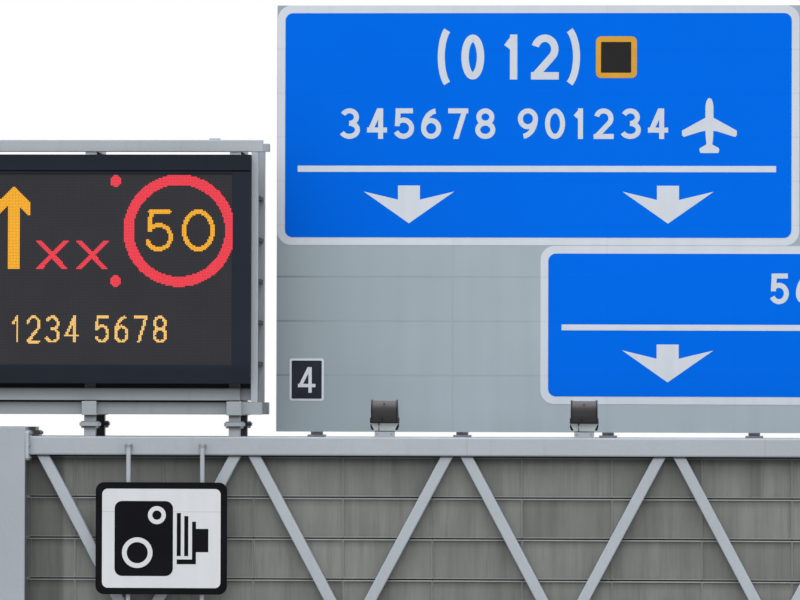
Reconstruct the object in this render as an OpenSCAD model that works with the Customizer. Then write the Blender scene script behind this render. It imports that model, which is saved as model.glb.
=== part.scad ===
// Overhead sign gantry for a three-lane carriageway.
// A box truss stands on two tied legs and carries a message sign on the left,
// a lane direction sign on the right, and a camera warning sign on its front.
// Millimetres. X runs along the span, +Z is up, and traffic meets the -Y face.
// The origin is on the ground below the middle of the span.

/* [Truss] */
// Number of bays between the legs
bay_count = 6; // [5:1:7]
// Length of one bay between the top nodes
bay_l = 2840; // [2600:10:3000]
// Clear height below the truss
clearance_h = 6255; // [5700:5:7000]
// Depth of the truss between its chord axes
truss_d = 2445; // [2300:5:2800]
// Width of the truss between its chord axes
truss_w = 1200; // [1100:10:1500]
// Side of the square chord tubes
chord_b = 250; // [220:10:300]
// Corner radius of the chord tubes
chord_r = 25; // [10:1:40]
// Side of the square diagonal tubes
diag_b = 145; // [100:5:180]
// Distance of a diagonal's centre from its node, along the chord's face
node_off = 127; // [120:1:200]
// Length of the top chord past its last node
chord_ext = 50; // [20:1:80]
// Side of the square bracing tubes between the two top chords
brace_b = 100; // [60:10:120]

/* [Chord end joints] */
// Side of the square end plates
end_plate_b = 400; // [320:10:400]
// Thickness of each of the two end plates of a joint
end_plate_t = 21; // [12:1:40]
// Corner chamfer of the end plates
end_plate_c = 30; // [10:5:60]

/* [Legs] */
// Width of a leg column along the span
leg_w = 1250; // [1250:10:1500]
// Depth of a leg column across the truss
leg_d = 400; // [400:10:500]
// Height of the leg top above the top chord
leg_rise = 120; // [60:5:130]
// Thickness of the plate that closes a column
cap_t = 20; // [10:1:40]
// Side of the square tubes that tie the two columns of a leg
tie_b = 120; // [80:10:150]
// Number of bays in the bracing of a leg
tie_bays = 5; // [4:1:7]
// Height of the lowest tie above the ground
tie_low = 700; // [600:10:1200]
// Distance of the highest tie below the leg top
tie_drop = 300; // [200:10:500]
// Distance of a bracing plane from the side of the column
tie_inset = 180; // [150:10:400]
// Distance of a brace's end from the face of the column
tie_off = 100; // [90:5:160]

/* [Feet] */
// Thickness of a base plate
base_t = 60; // [40:5:80]
// Overhang of the base plate around its column
base_over = 260; // [240:10:280]
// Diameter of the anchor bolt holes
anchor_d = 54; // [30:1:70]
// Distance of an anchor hole from the edges of the base plate
anchor_in = 110; // [80:5:120]
// Thickness of the gusset plates
gusset_t = 25; // [15:1:40]
// Height of the gusset plates
gusset_h = 420; // [300:10:500]
// Ledge of the base plate left in front of a gusset
gusset_ledge = 30; // [10:5:60]
// Height of the square toe at the tip of a gusset
gusset_toe = 60; // [30:5:100]
// Distance of the outer gussets from the corners of the column
gusset_in = 200; // [150:10:400]

/* [Walkway and tray wall] */
// Side of the square floor beams
floor_b = 100; // [60:10:120]
// Thickness of the floor plates
floor_t = 30; // [20:1:40]
// Gap between two floor plates
floor_gap = 8; // [4:1:20]
// Gap between the floor plates and what stands beside them
floor_side = 12; // [5:1:30]
// Number of rows of trays
tray_rows = 4; // [3:1:5]
// Gap between the front top chord and the trays
tray_drop = 19; // [8:1:60]
// Gap between the trays and the front bottom chord
tray_foot = 2; // [1:1:20]
// Gap between the front diagonals and the trays
tray_clear = 10; // [3:1:15]
// Length of a tray, from joint to joint
tray_l = 1200; // [1000:1:1400]
// Distance of the first tray joint from the left leg
tray_first = 644; // [300:1:900]
// Thickness of the sheet of a tray
tray_sheet = 4; // [2:1:6]
// Distance of the sheet behind the rim of a tray
rim_d = 12; // [6:1:15]
// Width of the rim along the top and the bottom of a tray
rim_z = 18; // [8:1:25]
// Width of the rim at the ends of a tray
rim_x = 10; // [6:1:25]
// Gap between two rows of trays
tray_gap_z = 18; // [6:1:24]
// Gap between two trays of a row
tray_gap_x = 5; // [2:1:12]
// Depth of the rails that carry the trays
rail_d = 40; // [30:1:50]
// Width of the rails that carry the trays
rail_w = 60; // [40:1:90]
// Gap between a rail's end and the beam above or below it
rail_end = 15; // [5:1:25]
// Depth of the rubber strips between the rows of trays
tray_seal_d = 20; // [10:1:30]

/* [Message sign] */
// Width of the housing
hous_w = 4320; // [4100:10:4400]
// Height of the housing
hous_h = 3065; // [2900:5:3400]
// Depth of the housing
hous_d = 1000; // [700:10:1100]
// Distance of the housing's front before the front posts
hous_out = 100; // [40:5:150]
// Width of the lamp screen
screen_w = 3840; // [3600:10:3900]
// Height of the lamp screen
screen_h = 2560; // [2400:10:2600]
// Height of the lower bezel below the screen
bezel_low = 250; // [200:5:300]
// Depth of the bezel and of the hood in front of the housing
bezel_d = 30; // [20:1:60]
// Height of the hood over the bezel
hood_h = 210; // [100:5:230]
// Gap between the hood and the bezel
hood_gap = 22; // [10:1:24]
// Setback of the screen behind the face of the bezel
screen_back = 14; // [5:1:18]
// Distance of the outer stub posts from the inner face of the left leg
post_on_leg = 1093; // [1050:1:1100]
// Distance of the outer stub posts from the sides of the housing
stub_in = 217; // [180:1:260]
// Side of the square stub posts
stub_b = 150; // [120:10:180]
// Height above the top chord at which the stub posts are bolted together
stub_joint_h = 163; // [155:1:200]
// Thickness of each flange of a stub post
flange_t = 23; // [15:1:30]
// Side of the square flanges of a stub post
flange_b = 270; // [230:5:290]
// Corner chamfer of the flanges
flange_c = 40; // [15:5:60]
// Height of the upper stub posts above their joint
stub_up_h = 98; // [80:1:160]
// Width of the cross beams on the stub posts
cross_w = 200; // [180:10:240]
// Height of the cross beams
cross_h = 187; // [175:1:220]
// Length of the cross beams past the stub post axes
cross_out = 160; // [120:10:200]
// Height of the long beams
beam_h = 164; // [140:2:174]
// Width of the long beams
beam_w = 100; // [90:5:140]
// Thickness of the packers between the lower and the upper frame
packer_t = 13; // [8:1:40]
// Length of the packers
packer_l = 150; // [100:5:190]
// Distance of the upper long beams' faces before those of the lower ones
upper_out = 30; // [10:5:40]
// Setback of the upper frame's ends behind the lower long beams
end_back = 60; // [20:5:80]
// Height of the pads below the housing
pad_h = 60; // [30:5:90]
// Depth of the pads below and above the housing
pad_d = 50; // [30:5:60]
// Width of the rubber strips below and above the long beams
seal_w = 30; // [20:5:40]
// Side of the square ladder posts beside the housing
post_b = 90; // [70:5:90]
// Side of the square rungs between the ladder posts
rung_b = 50; // [30:5:80]
// Number of rungs on each side
rung_n = 5; // [3:1:7]
// Height of the lowest rung above the underside of the housing
rung_low = 275; // [200:5:400]
// Distance between two rungs
rung_pitch = 558; // [400:2:560]
// Height of the front top beam and of the cross beams behind it
top_h = 160; // [140:5:220]
// Height of the rear top beam
top_rear_h = 110; // [80:5:135]
// Gap between the housing and the top beams
top_gap = 42; // [30:1:80]
// Length of the top beams past the ladder posts
top_out = 63; // [20:1:150]
// Distance of a lifting lug from the middle of the sign
lug_x = 1664; // [1500:2:1750]
// Length of a lifting lug
lug_l = 150; // [100:5:200]
// Height of a lifting lug
lug_h = 22; // [15:1:40]
// Thickness of the rear doors of the housing
door_t = 25; // [10:1:40]
// Number of rear doors
door_n = 3; // [2:1:4]
// Gap around each rear door
door_gap = 30; // [10:5:60]

/* [Direction sign] */
// Gap between the message sign's beams and the direction sign
sign_gap = 109; // [50:1:200]
// Width of the sign panel
panel_w = 10680; // [10400:10:10800]
// Heights of the planks below the regular ones, from the bottom
plank_low = [765, 735, 600, 705];
// Height of the regular planks
plank_h = 595; // [580:1:620]
// Number of regular planks
plank_n = 5; // [4:1:5]
// Distances of the panel's vertical joints from its middle
panel_cuts = [860, 2948];
// Gap between the sign panel and the rear top chord
panel_gap = 65; // [30:1:150]
// Depth of the planks over their rear flanges
plank_d = 45; // [30:1:60]
// Thickness of the planks' face
plank_t = 4; // [3:1:8]
// Thickness of a plank's rear flange
plank_lip = 6; // [3:1:10]
// Width of the seam between two planks
seam_w = 4; // [2:1:8]
// Depth of the seam between two planks
seam_d = 2; // [1:0.5:3]
// Gap at the panel's vertical joints
joint_gap = 5; // [2:1:12]
// Depth of the rails behind the planks
sign_rail_d = 50; // [30:5:80]
// Height of the rails behind the planks
sign_rail_h = 80; // [50:5:120]
// Number of rails
sign_rail_n = 6; // [4:1:8]
// Distance of the outer rails from the panel's edges
sign_rail_in = 190; // [150:5:300]
// Side of the square sign posts
sign_post_b = 160; // [120:10:180]
// Number of sign posts
sign_post_n = 6; // [5:1:6]
// Distance of the first sign post from the panel's left edge
sign_post_first = 544; // [300:2:600]
// Distance of the last sign post from the panel's right edge
sign_post_last = 256; // [200:2:600]
// Distance of the posts' tops below the panel's top edge
sign_post_drop = 90; // [40:5:150]
// Thickness of the foot plates below the sign posts
foot_t = 25; // [15:1:40]
// Side of the square foot plates
foot_b = 240; // [200:5:250]
// Width of both sign faces
face_w = 7065; // [6900:5:7200]
// Height of the upper sign face
upper_h = 3250; // [3000:10:3400]
// Height of the lower sign face
lower_h = 2142; // [2000:2:2200]
// Distance of the upper face from the left edge of the panel
upper_in = 6; // [5:1:60]
// Distance of the lower face from the right edge of the panel
lower_in = 34; // [10:1:80]
// Gap between the upper and the lower face
face_gap = 6; // [5:1:40]
// Width of the white borders
border_w = 105; // [80:1:140]
// Outer corner radius of the white borders
border_r = 190; // [150:5:250]
// Corner radius of the blue fields
field_r = 104; // [60:1:140]
// Thickness of each layer of a sign face
face_t = 3; // [2:1:6]
// Width of the number plate
plate_w = 465; // [400:5:520]
// Height of the number plate
plate_h = 573; // [500:1:640]
// Width of the number plate's white edge
plate_edge = 28; // [15:1:40]
// Corner radius of the number plate
plate_r = 30; // [10:1:50]
// Distance of the number plate from the left edge of the panel
plate_in = 181; // [100:1:300]
// Distance of the number plate from the bottom edge of the panel
plate_up = 418; // [300:1:500]

/* [Camera sign] */
// Width of the camera sign
cam_w = 1762; // [1600:1:1900]
// Height of the camera sign
cam_h = 1497; // [1400:1:1500]
// Distance of its top edge below the top of the chord
cam_drop = 611; // [500:1:700]
// Distance of its middle from the inner face of the left leg
cam_x = 1835; // [1700:1:2000]
// Width of its black border
cam_edge = 87; // [60:1:110]
// Outer corner radius of the camera sign
cam_r = 115; // [80:1:150]
// Corner radius of its white field
cam_field_r = 76; // [50:1:110]
// Thickness of its plate
cam_t = 6; // [3:1:10]
// Diameter of the two tubes that carry it
cam_tube_d = 60; // [40:2:80]
// Distances of the tubes from the sign's middle
cam_tubes = [-451, 540];
// Distance of the tubes' top below the top of the chord
cam_tube_drop = 90; // [60:2:100]
// Depth of the channels behind the plate
cam_ch_d = 40; // [25:1:60]
// Height of the channels behind the plate
cam_ch_h = 60; // [40:1:90]
// Distance of the channels from the plate's upper and lower edges
cam_ch_in = 260; // [200:5:350]
// Distance of the channels' ends from the plate's sides
cam_ch_end = 110; // [90:5:160]
// Thickness of the pads between the tubes and the chords
cam_pad_t = 15; // [8:1:30]
// Height of the pads between the tubes and the chords
cam_pad_h = 60; // [40:1:90]
// Width of the pads between the tubes and the chords
cam_pad_w = 86; // [70:1:200]

/* [Floodlights] */
// Distances of the floodlights from the left edge of the sign panel
flood_at = [1534, 4201, 9535];
// Width of the floodlight's base block
flood_base_w = 261; // [220:1:280]
// Depth of the floodlight's base block
flood_base_d = 180; // [120:5:220]
// Height of the floodlight's base block
flood_base_h = 85; // [60:5:110]
// Height of the stirrup between the base block and the lamp
stirrup_h = 102; // [80:2:130]
// Width across the top of the stirrup
stirrup_w = 373; // [360:1:400]
// Depth of the stirrup
stirrup_d = 130; // [80:5:160]
// Thickness of the stirrup's sheet
stirrup_t = 6; // [4:1:10]
// Width of the lamp body between its cheeks
lamp_w = 320; // [300:1:330]
// Thickness of the cheeks at the ends of the lamp body
lamp_cheek = 18; // [10:1:25]
// Distance by which the cheeks stand out around the lamp body
cheek_out = 10; // [5:1:15]
// Height of the lamp body
lamp_h = 316; // [280:2:360]
// Depth of the lamp body
lamp_d = 300; // [240:5:340]
// Height of the lamp's lower rim
rim_h = 75; // [50:5:100]
// Overhang of the lamp's lower rim
rim_out = 11; // [5:1:20]
// Radius of the lamp body's rounded back
lamp_r = 150; // [100:5:180]
// Lean of the lamp's glass from the vertical, in degrees
lamp_lean = 35; // [20:1:45]
// Thickness of the lamp's glass
glass_t = 8; // [4:1:12]

/* [Hidden] */
$fn = 48;

// Length by which a cut runs past the piece it is made in
past = 1;

// Colours
steel_c = [0.66, 0.69, 0.73];
tray_c = [0.47, 0.48, 0.48];
panel_c = [0.62, 0.67, 0.70];
navy_c = [0.15, 0.16, 0.21];
screen_c = [0.17, 0.17, 0.17];
blue_c = [0.0, 0.41, 0.91];
white_c = [0.83, 0.84, 0.87];
black_c = [0.10, 0.10, 0.11];
lamp_c = [0.26, 0.25, 0.26];
silver_c = [0.75, 0.77, 0.78];

// Places along the span
half_span = bay_count * bay_l / 2;
chord_x = half_span + chord_ext;
leg_in = chord_x + 2 * end_plate_t;
leg_mid = leg_in + leg_w / 2;

// Places across the truss
side_y = truss_w / 2;
front_y = -side_y - chord_b / 2;
inner_y = side_y - chord_b / 2;

// Heights of the truss and the legs
bottom_z = clearance_h + chord_b / 2;
top_z = bottom_z + truss_d;
deck_z = bottom_z + chord_b / 2;
soffit_z = top_z - chord_b / 2;
chord_top = top_z + chord_b / 2;
leg_top = chord_top + leg_rise;

// Box from x0 to x1, centred on y and z
module bar_x(x0, x1, y, z, w, h) {
    translate([x0, y - w / 2, z - h / 2]) cube([x1 - x0, w, h]);
}

// Box from y0 to y1, centred on x and z
module bar_y(y0, y1, x, z, w, h) {
    translate([x - w / 2, y0, z - h / 2]) cube([w, y1 - y0, h]);
}

// Box from z0 to z1, centred on x and y
module bar_z(z0, z1, x, y, w, d) {
    translate([x - w / 2, y - d / 2, z0]) cube([w, d, z1 - z0]);
}

// Outline in X and Z, made into a plate that reaches from y0 to y0 + t
module plate_xz(y0, t) {
    translate([0, y0 + t, 0]) rotate([90, 0, 0]) linear_extrude(height = t) children();
}

// Outline in Y and Z, made into a piece that reaches from x0 to x0 + l
module plate_yz(x0, l) {
    translate([x0, 0, 0]) rotate([90, 0, 90]) linear_extrude(height = l) children();
}

// Rectangle with its lower left corner at the origin and round corners
module round_rect(w, h, r) {
    translate([r, 0]) square([w - 2 * r, h]);
    translate([0, r]) square([w, h - 2 * r]);
    for (x = [r, w - r], y = [r, h - r]) translate([x, y]) circle(r = r);
}

// Rectangle about the origin with chamfered corners
module chamfer_rect(w, h, c) {
    polygon([
        [-w / 2 + c, -h / 2], [w / 2 - c, -h / 2], [w / 2, -h / 2 + c], [w / 2, h / 2 - c],
        [w / 2 - c, h / 2], [-w / 2 + c, h / 2], [-w / 2, h / 2 - c], [-w / 2, -h / 2 + c]
    ]);
}

// Places its children at the middle of each leg column
module at_columns() {
    for (sx = [-1, 1], sy = [-1, 1]) translate([sx * leg_mid, sy * side_y, 0]) children();
}

// Feet
base_w = leg_w + 2 * base_over;
base_d = leg_d + 2 * base_over;

module base_plate() {
    difference() {
        translate([-base_w / 2, -base_d / 2, 0]) cube([base_w, base_d, base_t]);
        for (sx = [-1, 1], sy = [-1, 1])
            translate([sx * (base_w / 2 - anchor_in), sy * (base_d / 2 - anchor_in), -past])
                cylinder(d = anchor_d, h = base_t + 2 * past);
    }
}

module base_plates() {
    color(steel_c) at_columns() base_plate();
}

// Gusset against a face at distance reach from the middle, standing on the base plate
module gusset(reach) {
    l = base_over - gusset_ledge;
    translate([0, 0, base_t]) plate_xz(-gusset_t / 2, gusset_t) polygon([
        [reach, 0], [reach + l, 0], [reach + l, gusset_toe], [reach, gusset_h]
    ]);
}

module base_gussets() {
    color(steel_c) at_columns() {
        for (a = [0, 180]) rotate([0, 0, a]) gusset(leg_w / 2);
        for (a = [90, 270], x = [-1, 1])
            translate([x * (leg_w / 2 - gusset_in), 0, 0]) rotate([0, 0, a]) gusset(leg_d / 2);
    }
}

// Legs
module leg_column(sx, sy) {
    color(steel_c)
        bar_z(base_t, leg_top - cap_t, sx * leg_mid, sy * side_y, leg_w, leg_d);
}

module left_front_leg() { leg_column(-1, -1); }
module left_rear_leg() { leg_column(-1, 1); }
module right_front_leg() { leg_column(1, -1); }
module right_rear_leg() { leg_column(1, 1); }

module leg_caps() {
    color(steel_c) at_columns() bar_z(leg_top - cap_t, leg_top, 0, 0, leg_w, leg_d);
}

// One upright plane of ties and diagonals between the columns of a leg
module tie_plane(x) {
    reach = (truss_w - leg_d) / 2;
    pitch = (leg_top - tie_drop - tie_low) / tie_bays;
    rise = pitch - tie_b;
    y = reach - tie_off;
    half = tie_b / 2 / sin(atan2(rise, 2 * y));
    for (k = [0 : tie_bays]) bar_y(-reach, reach, x, tie_low + k * pitch, tie_b, tie_b);
    for (k = [0 : tie_bays - 1]) {
        s = k % 2 == 0 ? 1 : -1;
        z = tie_low + k * pitch + tie_b / 2;
        plate_yz(x - tie_b / 2, tie_b) polygon([
            [-s * y - half, z], [-s * y + half, z],
            [s * y + half, z + rise], [s * y - half, z + rise]
        ]);
    }
}

module leg_bracing(sx) {
    color(steel_c) for (x = [leg_in + tie_inset, leg_in + leg_w - tie_inset]) tie_plane(sx * x);
}

module left_leg_bracing() { leg_bracing(-1); }
module right_leg_bracing() { leg_bracing(1); }

// Chord end joints: one plate on the leg and one on the chord
module end_plates(x) {
    for (sx = [-1, 1], y = [-side_y, side_y], z = [bottom_z, top_z])
        translate([sx * (x + end_plate_t / 2), y, z]) plate_yz(-end_plate_t / 2, end_plate_t)
            chamfer_rect(end_plate_b, end_plate_b, end_plate_c);
}

module leg_landing_plates() { color(steel_c) end_plates(chord_x + end_plate_t); }
module truss_end_plates() { color(steel_c) end_plates(chord_x); }

// Truss
module chord(y, z) {
    color(steel_c) translate([0, y - chord_b / 2, z - chord_b / 2])
        plate_yz(-chord_x, 2 * chord_x) round_rect(chord_b, chord_b, chord_r);
}

module front_top_chord() { chord(-side_y, top_z); }
module front_bottom_chord() { chord(-side_y, bottom_z); }
module rear_top_chord() { chord(side_y, top_z); }
module rear_bottom_chord() { chord(side_y, bottom_z); }

// One diagonal from the top node at x, leaning towards +X for s = 1
module diagonal(x, s) {
    run = bay_l / 2 - 2 * node_off;
    half = diag_b / 2 / sin(atan2(soffit_z - deck_z, run));
    top_x = x + s * node_off;
    low_x = top_x + s * run;
    polygon([
        [top_x - half, soffit_z], [top_x + half, soffit_z],
        [low_x + half, deck_z], [low_x - half, deck_z]
    ]);
}

module diagonals(y) {
    color(steel_c) for (k = [0 : bay_count - 1]) {
        x = -half_span + k * bay_l;
        plate_xz(y - diag_b / 2, diag_b) diagonal(x, 1);
        plate_xz(y - diag_b / 2, diag_b) diagonal(x + bay_l, -1);
    }
}

module front_diagonals() { diagonals(-side_y); }
module rear_diagonals() { diagonals(side_y); }

// Struts at the top nodes and one diagonal in each bay, level with the top chords
module top_bracing() {
    run = bay_l;
    a = atan2(2 * inner_y, run);
    color(steel_c) {
        for (k = [0 : bay_count]) {
            edge = k == 0 ? brace_b / 2 : (k == bay_count ? -brace_b / 2 : 0);
            bar_y(-inner_y, inner_y, -half_span + k * bay_l + edge, top_z, brace_b, brace_b);
        }
        intersection() {
            bar_x(-half_span, half_span, 0, top_z, 2 * inner_y, brace_b);
            for (k = [0 : bay_count - 1]) {
                s = k % 2 == 0 ? 1 : -1;
                translate([-half_span + (k + 0.5) * bay_l, 0, top_z]) rotate([0, 0, s * a])
                    cube([run / cos(a), brace_b, brace_b], center = true);
            }
        }
    }
}

// Walkway on the bottom chords
floor_z = bottom_z + floor_b / 2;
floor_n = 2 * bay_count;

module floor_beams() {
    color(steel_c) for (k = [0 : floor_n]) {
        edge = k == 0 ? floor_b / 2 : (k == floor_n ? -floor_b / 2 : 0);
        bar_y(-inner_y, inner_y, -half_span + k * bay_l / 2 + edge, bottom_z, floor_b, floor_b);
    }
}

module floor_plates() {
    y0 = -inner_y + rail_d + floor_side;
    y1 = inner_y - floor_side;
    color(tray_c) for (k = [0 : floor_n - 1])
        translate([-half_span + k * bay_l / 2 + floor_gap / 2, y0, floor_z])
            cube([bay_l / 2 - floor_gap, y1 - y0, floor_t]);
}

// Tray wall between the front chords, behind the diagonals
tray_y = -side_y + diag_b / 2 + tray_clear;
tray_d = -inner_y - tray_y;
tray_z = deck_z + tray_foot;
tray_pitch = (soffit_z - tray_drop - tray_z + tray_gap_z) / tray_rows;
tray_h = tray_pitch - tray_gap_z;
tray_cols = round((chord_x + leg_in - tray_first) / tray_l);

function tray_joint(k) =
    k == 0 ? -chord_x : k > tray_cols ? chord_x : -leg_in + tray_first + (k - 1) * tray_l;

module tray_rails() {
    z0 = floor_z + rail_end;
    z1 = top_z - brace_b / 2 - rail_end;
    color(tray_c) for (k = [0 : tray_cols + 1]) {
        x = max(-chord_x + rail_w / 2, min(chord_x - rail_w / 2, tray_joint(k)));
        bar_z(z0, z1, x, -inner_y + rail_d / 2, rail_w, rail_d);
    }
}

// A tray of length l: its sheet lies behind a rim, and its edges are folded back
module tray(l) {
    difference() {
        cube([l, tray_d, tray_h]);
        translate([rim_x, -past, rim_z])
            cube([l - 2 * rim_x, rim_d + past, tray_h - 2 * rim_z]);
        translate([tray_sheet, rim_d + tray_sheet, tray_sheet])
            cube([l - 2 * tray_sheet, tray_d, tray_h - 2 * tray_sheet]);
    }
}

module wall_trays() {
    color(tray_c) for (k = [0 : tray_cols], row = [0 : tray_rows - 1])
        translate([tray_joint(k) + tray_gap_x / 2, tray_y, tray_z + row * tray_pitch])
            tray(tray_joint(k + 1) - tray_joint(k) - tray_gap_x);
}

// Rubber strips between the rows, and one between the top row and the chord
module tray_seals() {
    color(black_c) for (row = [1 : tray_rows]) {
        z1 = row == tray_rows ? soffit_z : tray_z + row * tray_pitch;
        z0 = tray_z + row * tray_pitch - tray_gap_z;
        bar_x(-chord_x, chord_x, -inner_y - tray_seal_d / 2, (z0 + z1) / 2, tray_seal_d, z1 - z0);
    }
}

// Message sign: its posts, frames and housing
msg_pitch = hous_w / 2 - stub_in;
msg_x = -leg_in - post_on_leg + msg_pitch;
msg_joint = chord_top + stub_joint_h;
msg_low = msg_joint + stub_up_h + flange_t;
msg_low_mid = msg_low + cross_h / 2;
msg_low_top = msg_low + cross_h;
msg_up = msg_low_top + packer_t;
msg_up_top = msg_up + beam_h;
hous_z = msg_up_top + pad_h;
hous_top = hous_z + hous_h;
hous_y = -side_y - post_b / 2 - hous_out;
hous_x = msg_x - hous_w / 2;
post_x = (hous_w + post_b) / 2;
beam_x = post_x + post_b / 2 + top_out;
beam_top = msg_low_mid + beam_h / 2;

// Places its children at the three post lines of the message sign
module at_msg_lines() {
    for (k = [-1 : 1]) translate([msg_x + k * msg_pitch, 0, 0]) children();
}

// A stub post stands on the chord, or on the leg where the leg reaches under it
module message_lower_stubs() {
    z1 = msg_joint - flange_t;
    color(steel_c) for (k = [-1 : 1], y = [-side_y, side_y]) {
        x = msg_x + k * msg_pitch;
        z0 = x < -leg_in ? leg_top : chord_top;
        bar_z(z0, z1, x, y, stub_b, stub_b);
        translate([x, y, z1]) linear_extrude(height = flange_t)
            chamfer_rect(flange_b, flange_b, flange_c);
    }
}

module message_upper_stubs() {
    color(steel_c) at_msg_lines() for (y = [-side_y, side_y]) {
        translate([0, y, msg_joint]) linear_extrude(height = flange_t)
            chamfer_rect(flange_b, flange_b, flange_c);
        bar_z(msg_joint + flange_t, msg_low, 0, y, stub_b, stub_b);
    }
}

// Long beam that reaches as far to both sides of the message sign's middle
module long_beam(reach, y, z, h) {
    bar_x(msg_x - reach, msg_x + reach, y, z, beam_w, h);
}

module message_lower_frame() {
    reach = side_y + cross_out;
    color(steel_c) {
        for (y = [-side_y, side_y]) long_beam(beam_x, y, msg_low_mid, beam_h);
        at_msg_lines() bar_y(-reach, reach, 0, msg_low_mid, cross_w, cross_h);
    }
}

module message_packers() {
    color(steel_c) at_msg_lines() for (y = [-side_y, side_y])
        bar_z(msg_low_top, msg_up, 0, y, packer_l, beam_w);
}

// The ends beside the outer post lines are set back behind the long beams
module message_upper_frame() {
    z = msg_up + beam_h / 2;
    off = side_y + upper_out;
    reach = off + beam_w / 2;
    color(steel_c) {
        for (y = [-off, off]) long_beam(msg_pitch, y, z, beam_h);
        at_msg_lines() bar_y(-reach, reach, 0, z, packer_l, beam_h);
        for (y = [-side_y + end_back, side_y - end_back]) long_beam(hous_w / 2, y, z, beam_h);
    }
}

// Pads that carry the housing and pads that hold its top
module message_pads() {
    back_y = hous_y + hous_d - beam_w;
    color(white_c) at_msg_lines() for (y = [-side_y, back_y]) {
        bar_z(msg_up_top, hous_z, 0, y, packer_l, pad_d);
        bar_z(hous_top, hous_top + top_gap, 0, y, packer_l, pad_d);
    }
}

// Strips that close the gaps above the lower and the upper long beams
module message_seals() {
    color(black_c) {
        for (k = [-1, 0], y = [-side_y, side_y])
            bar_x(msg_x + k * msg_pitch + cross_w / 2, msg_x + (k + 1) * msg_pitch - cross_w / 2,
                y, (beam_top + msg_up) / 2, seal_w, msg_up - beam_top);
        bar_x(hous_x, hous_x + hous_w, -side_y + end_back, hous_z - pad_h / 2, seal_w, pad_h);
    }
}

// Front and rear posts on both sides of the housing, with rungs between them
module message_posts() {
    z1 = hous_top + top_gap;
    color(steel_c) for (s = [-1, 1]) {
        x = msg_x + s * post_x;
        bar_z(beam_top, z1, x, -side_y, post_b, post_b);
        bar_z(beam_top, z1 + top_h - top_rear_h, x, side_y, post_b, post_b);
    }
}

module message_rungs() {
    reach = side_y - post_b / 2;
    color(black_c) for (s = [-1, 1], k = [0 : rung_n - 1])
        bar_y(-reach, reach, msg_x + s * post_x, hous_z + rung_low + k * rung_pitch, rung_b, rung_b);
}

module message_top_frame() {
    z0 = hous_top + top_gap;
    z1 = z0 + top_h;
    z = (z0 + z1) / 2;
    color(steel_c) {
        long_beam(beam_x, -side_y, z, top_h);
        long_beam(beam_x, side_y, z1 - top_rear_h / 2, top_rear_h);
        at_msg_lines() bar_y(-side_y, side_y, 0, z, packer_l, top_h);
        for (x = [-lug_x, lug_x], y = [-side_y, side_y])
            bar_z(z1, z1 + lug_h, msg_x + x, y, lug_l, beam_w / 2);
    }
}

module message_housing() {
    color(navy_c) translate([hous_x, hous_y, hous_z]) cube([hous_w, hous_d, hous_h]);
}

// A hood over a frame around the screen, with a dark gap between the two
module message_bezel() {
    color(navy_c) plate_xz(hous_y - bezel_d, bezel_d) translate([hous_x, 0]) {
        difference() {
            translate([0, hous_z]) square([hous_w, hous_h - hood_h - hood_gap]);
            translate([(hous_w - screen_w) / 2, hous_z + bezel_low]) square([screen_w, screen_h]);
        }
        translate([0, hous_top - hood_h]) square([hous_w, hood_h]);
    }
}

module message_screen() {
    y0 = hous_y - bezel_d + screen_back;
    color(screen_c) translate([msg_x - screen_w / 2, y0, hous_z + bezel_low])
        cube([screen_w, hous_y - y0, screen_h]);
}

module message_doors() {
    w = hous_w / door_n;
    color(navy_c) for (k = [0 : door_n - 1])
        translate([hous_x + k * w + door_gap, hous_y + hous_d, hous_z + door_gap])
            cube([w - 2 * door_gap, door_t, hous_h - 2 * door_gap]);
}

// Direction sign: planks on rails on posts, above the rear top chord
plank_rows = concat(plank_low, [for (k = [1 : plank_n]) plank_h]);
function sum_to(list, n) = n == 0 ? 0 : list[n - 1] + sum_to(list, n - 1);
panel_h = sum_to(plank_rows, len(plank_rows));
panel_z = chord_top + panel_gap;
panel_top = panel_z + panel_h;
panel_x = msg_x + beam_x + sign_gap;
panel_end = panel_x + panel_w;
panel_mid = panel_x + panel_w / 2;
sign_post_pitch = (panel_w - sign_post_first - sign_post_last) / (sign_post_n - 1);
sign_post_y = side_y - sign_post_b / 2;
rail_y = sign_post_y - sign_rail_d;
panel_y = rail_y - plank_d;

// Places its children at the foot of each sign post
module at_sign_posts() {
    for (k = [0 : sign_post_n - 1])
        translate([panel_x + sign_post_first + k * sign_post_pitch, side_y, chord_top]) children();
}

module sign_feet() {
    color(steel_c) at_sign_posts() bar_z(0, foot_t, 0, 0, foot_b, foot_b);
}

module sign_posts() {
    h = panel_top - sign_post_drop - chord_top;
    color(steel_c) at_sign_posts() bar_z(foot_t, h, 0, 0, sign_post_b, sign_post_b);
}

module sign_rails() {
    pitch = (panel_h - 2 * sign_rail_in) / (sign_rail_n - 1);
    color(silver_c) for (k = [0 : sign_rail_n - 1])
        bar_x(panel_x, panel_end, rail_y + sign_rail_d / 2, panel_z + sign_rail_in + k * pitch,
            sign_rail_d, sign_rail_h);
}

// Section through the planks, in Y and Z from the panel's front lower edge
module plank_section() {
    difference() {
        square([plank_d, panel_h]);
        for (k = [0 : len(plank_rows) - 1])
            translate([plank_t, sum_to(plank_rows, k) + plank_lip])
                square([plank_d, plank_rows[k] - 2 * plank_lip]);
        for (k = [1 : len(plank_rows) - 1])
            translate([-past, sum_to(plank_rows, k) - seam_w / 2])
                square([seam_d + past, seam_w]);
    }
}

// Edges of the panel's columns from left to right
panel_edges = concat(
    [panel_x],
    [for (k = [len(panel_cuts) - 1 : -1 : 0]) panel_mid - panel_cuts[k]],
    [for (cut = panel_cuts) panel_mid + cut],
    [panel_end]
);

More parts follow.
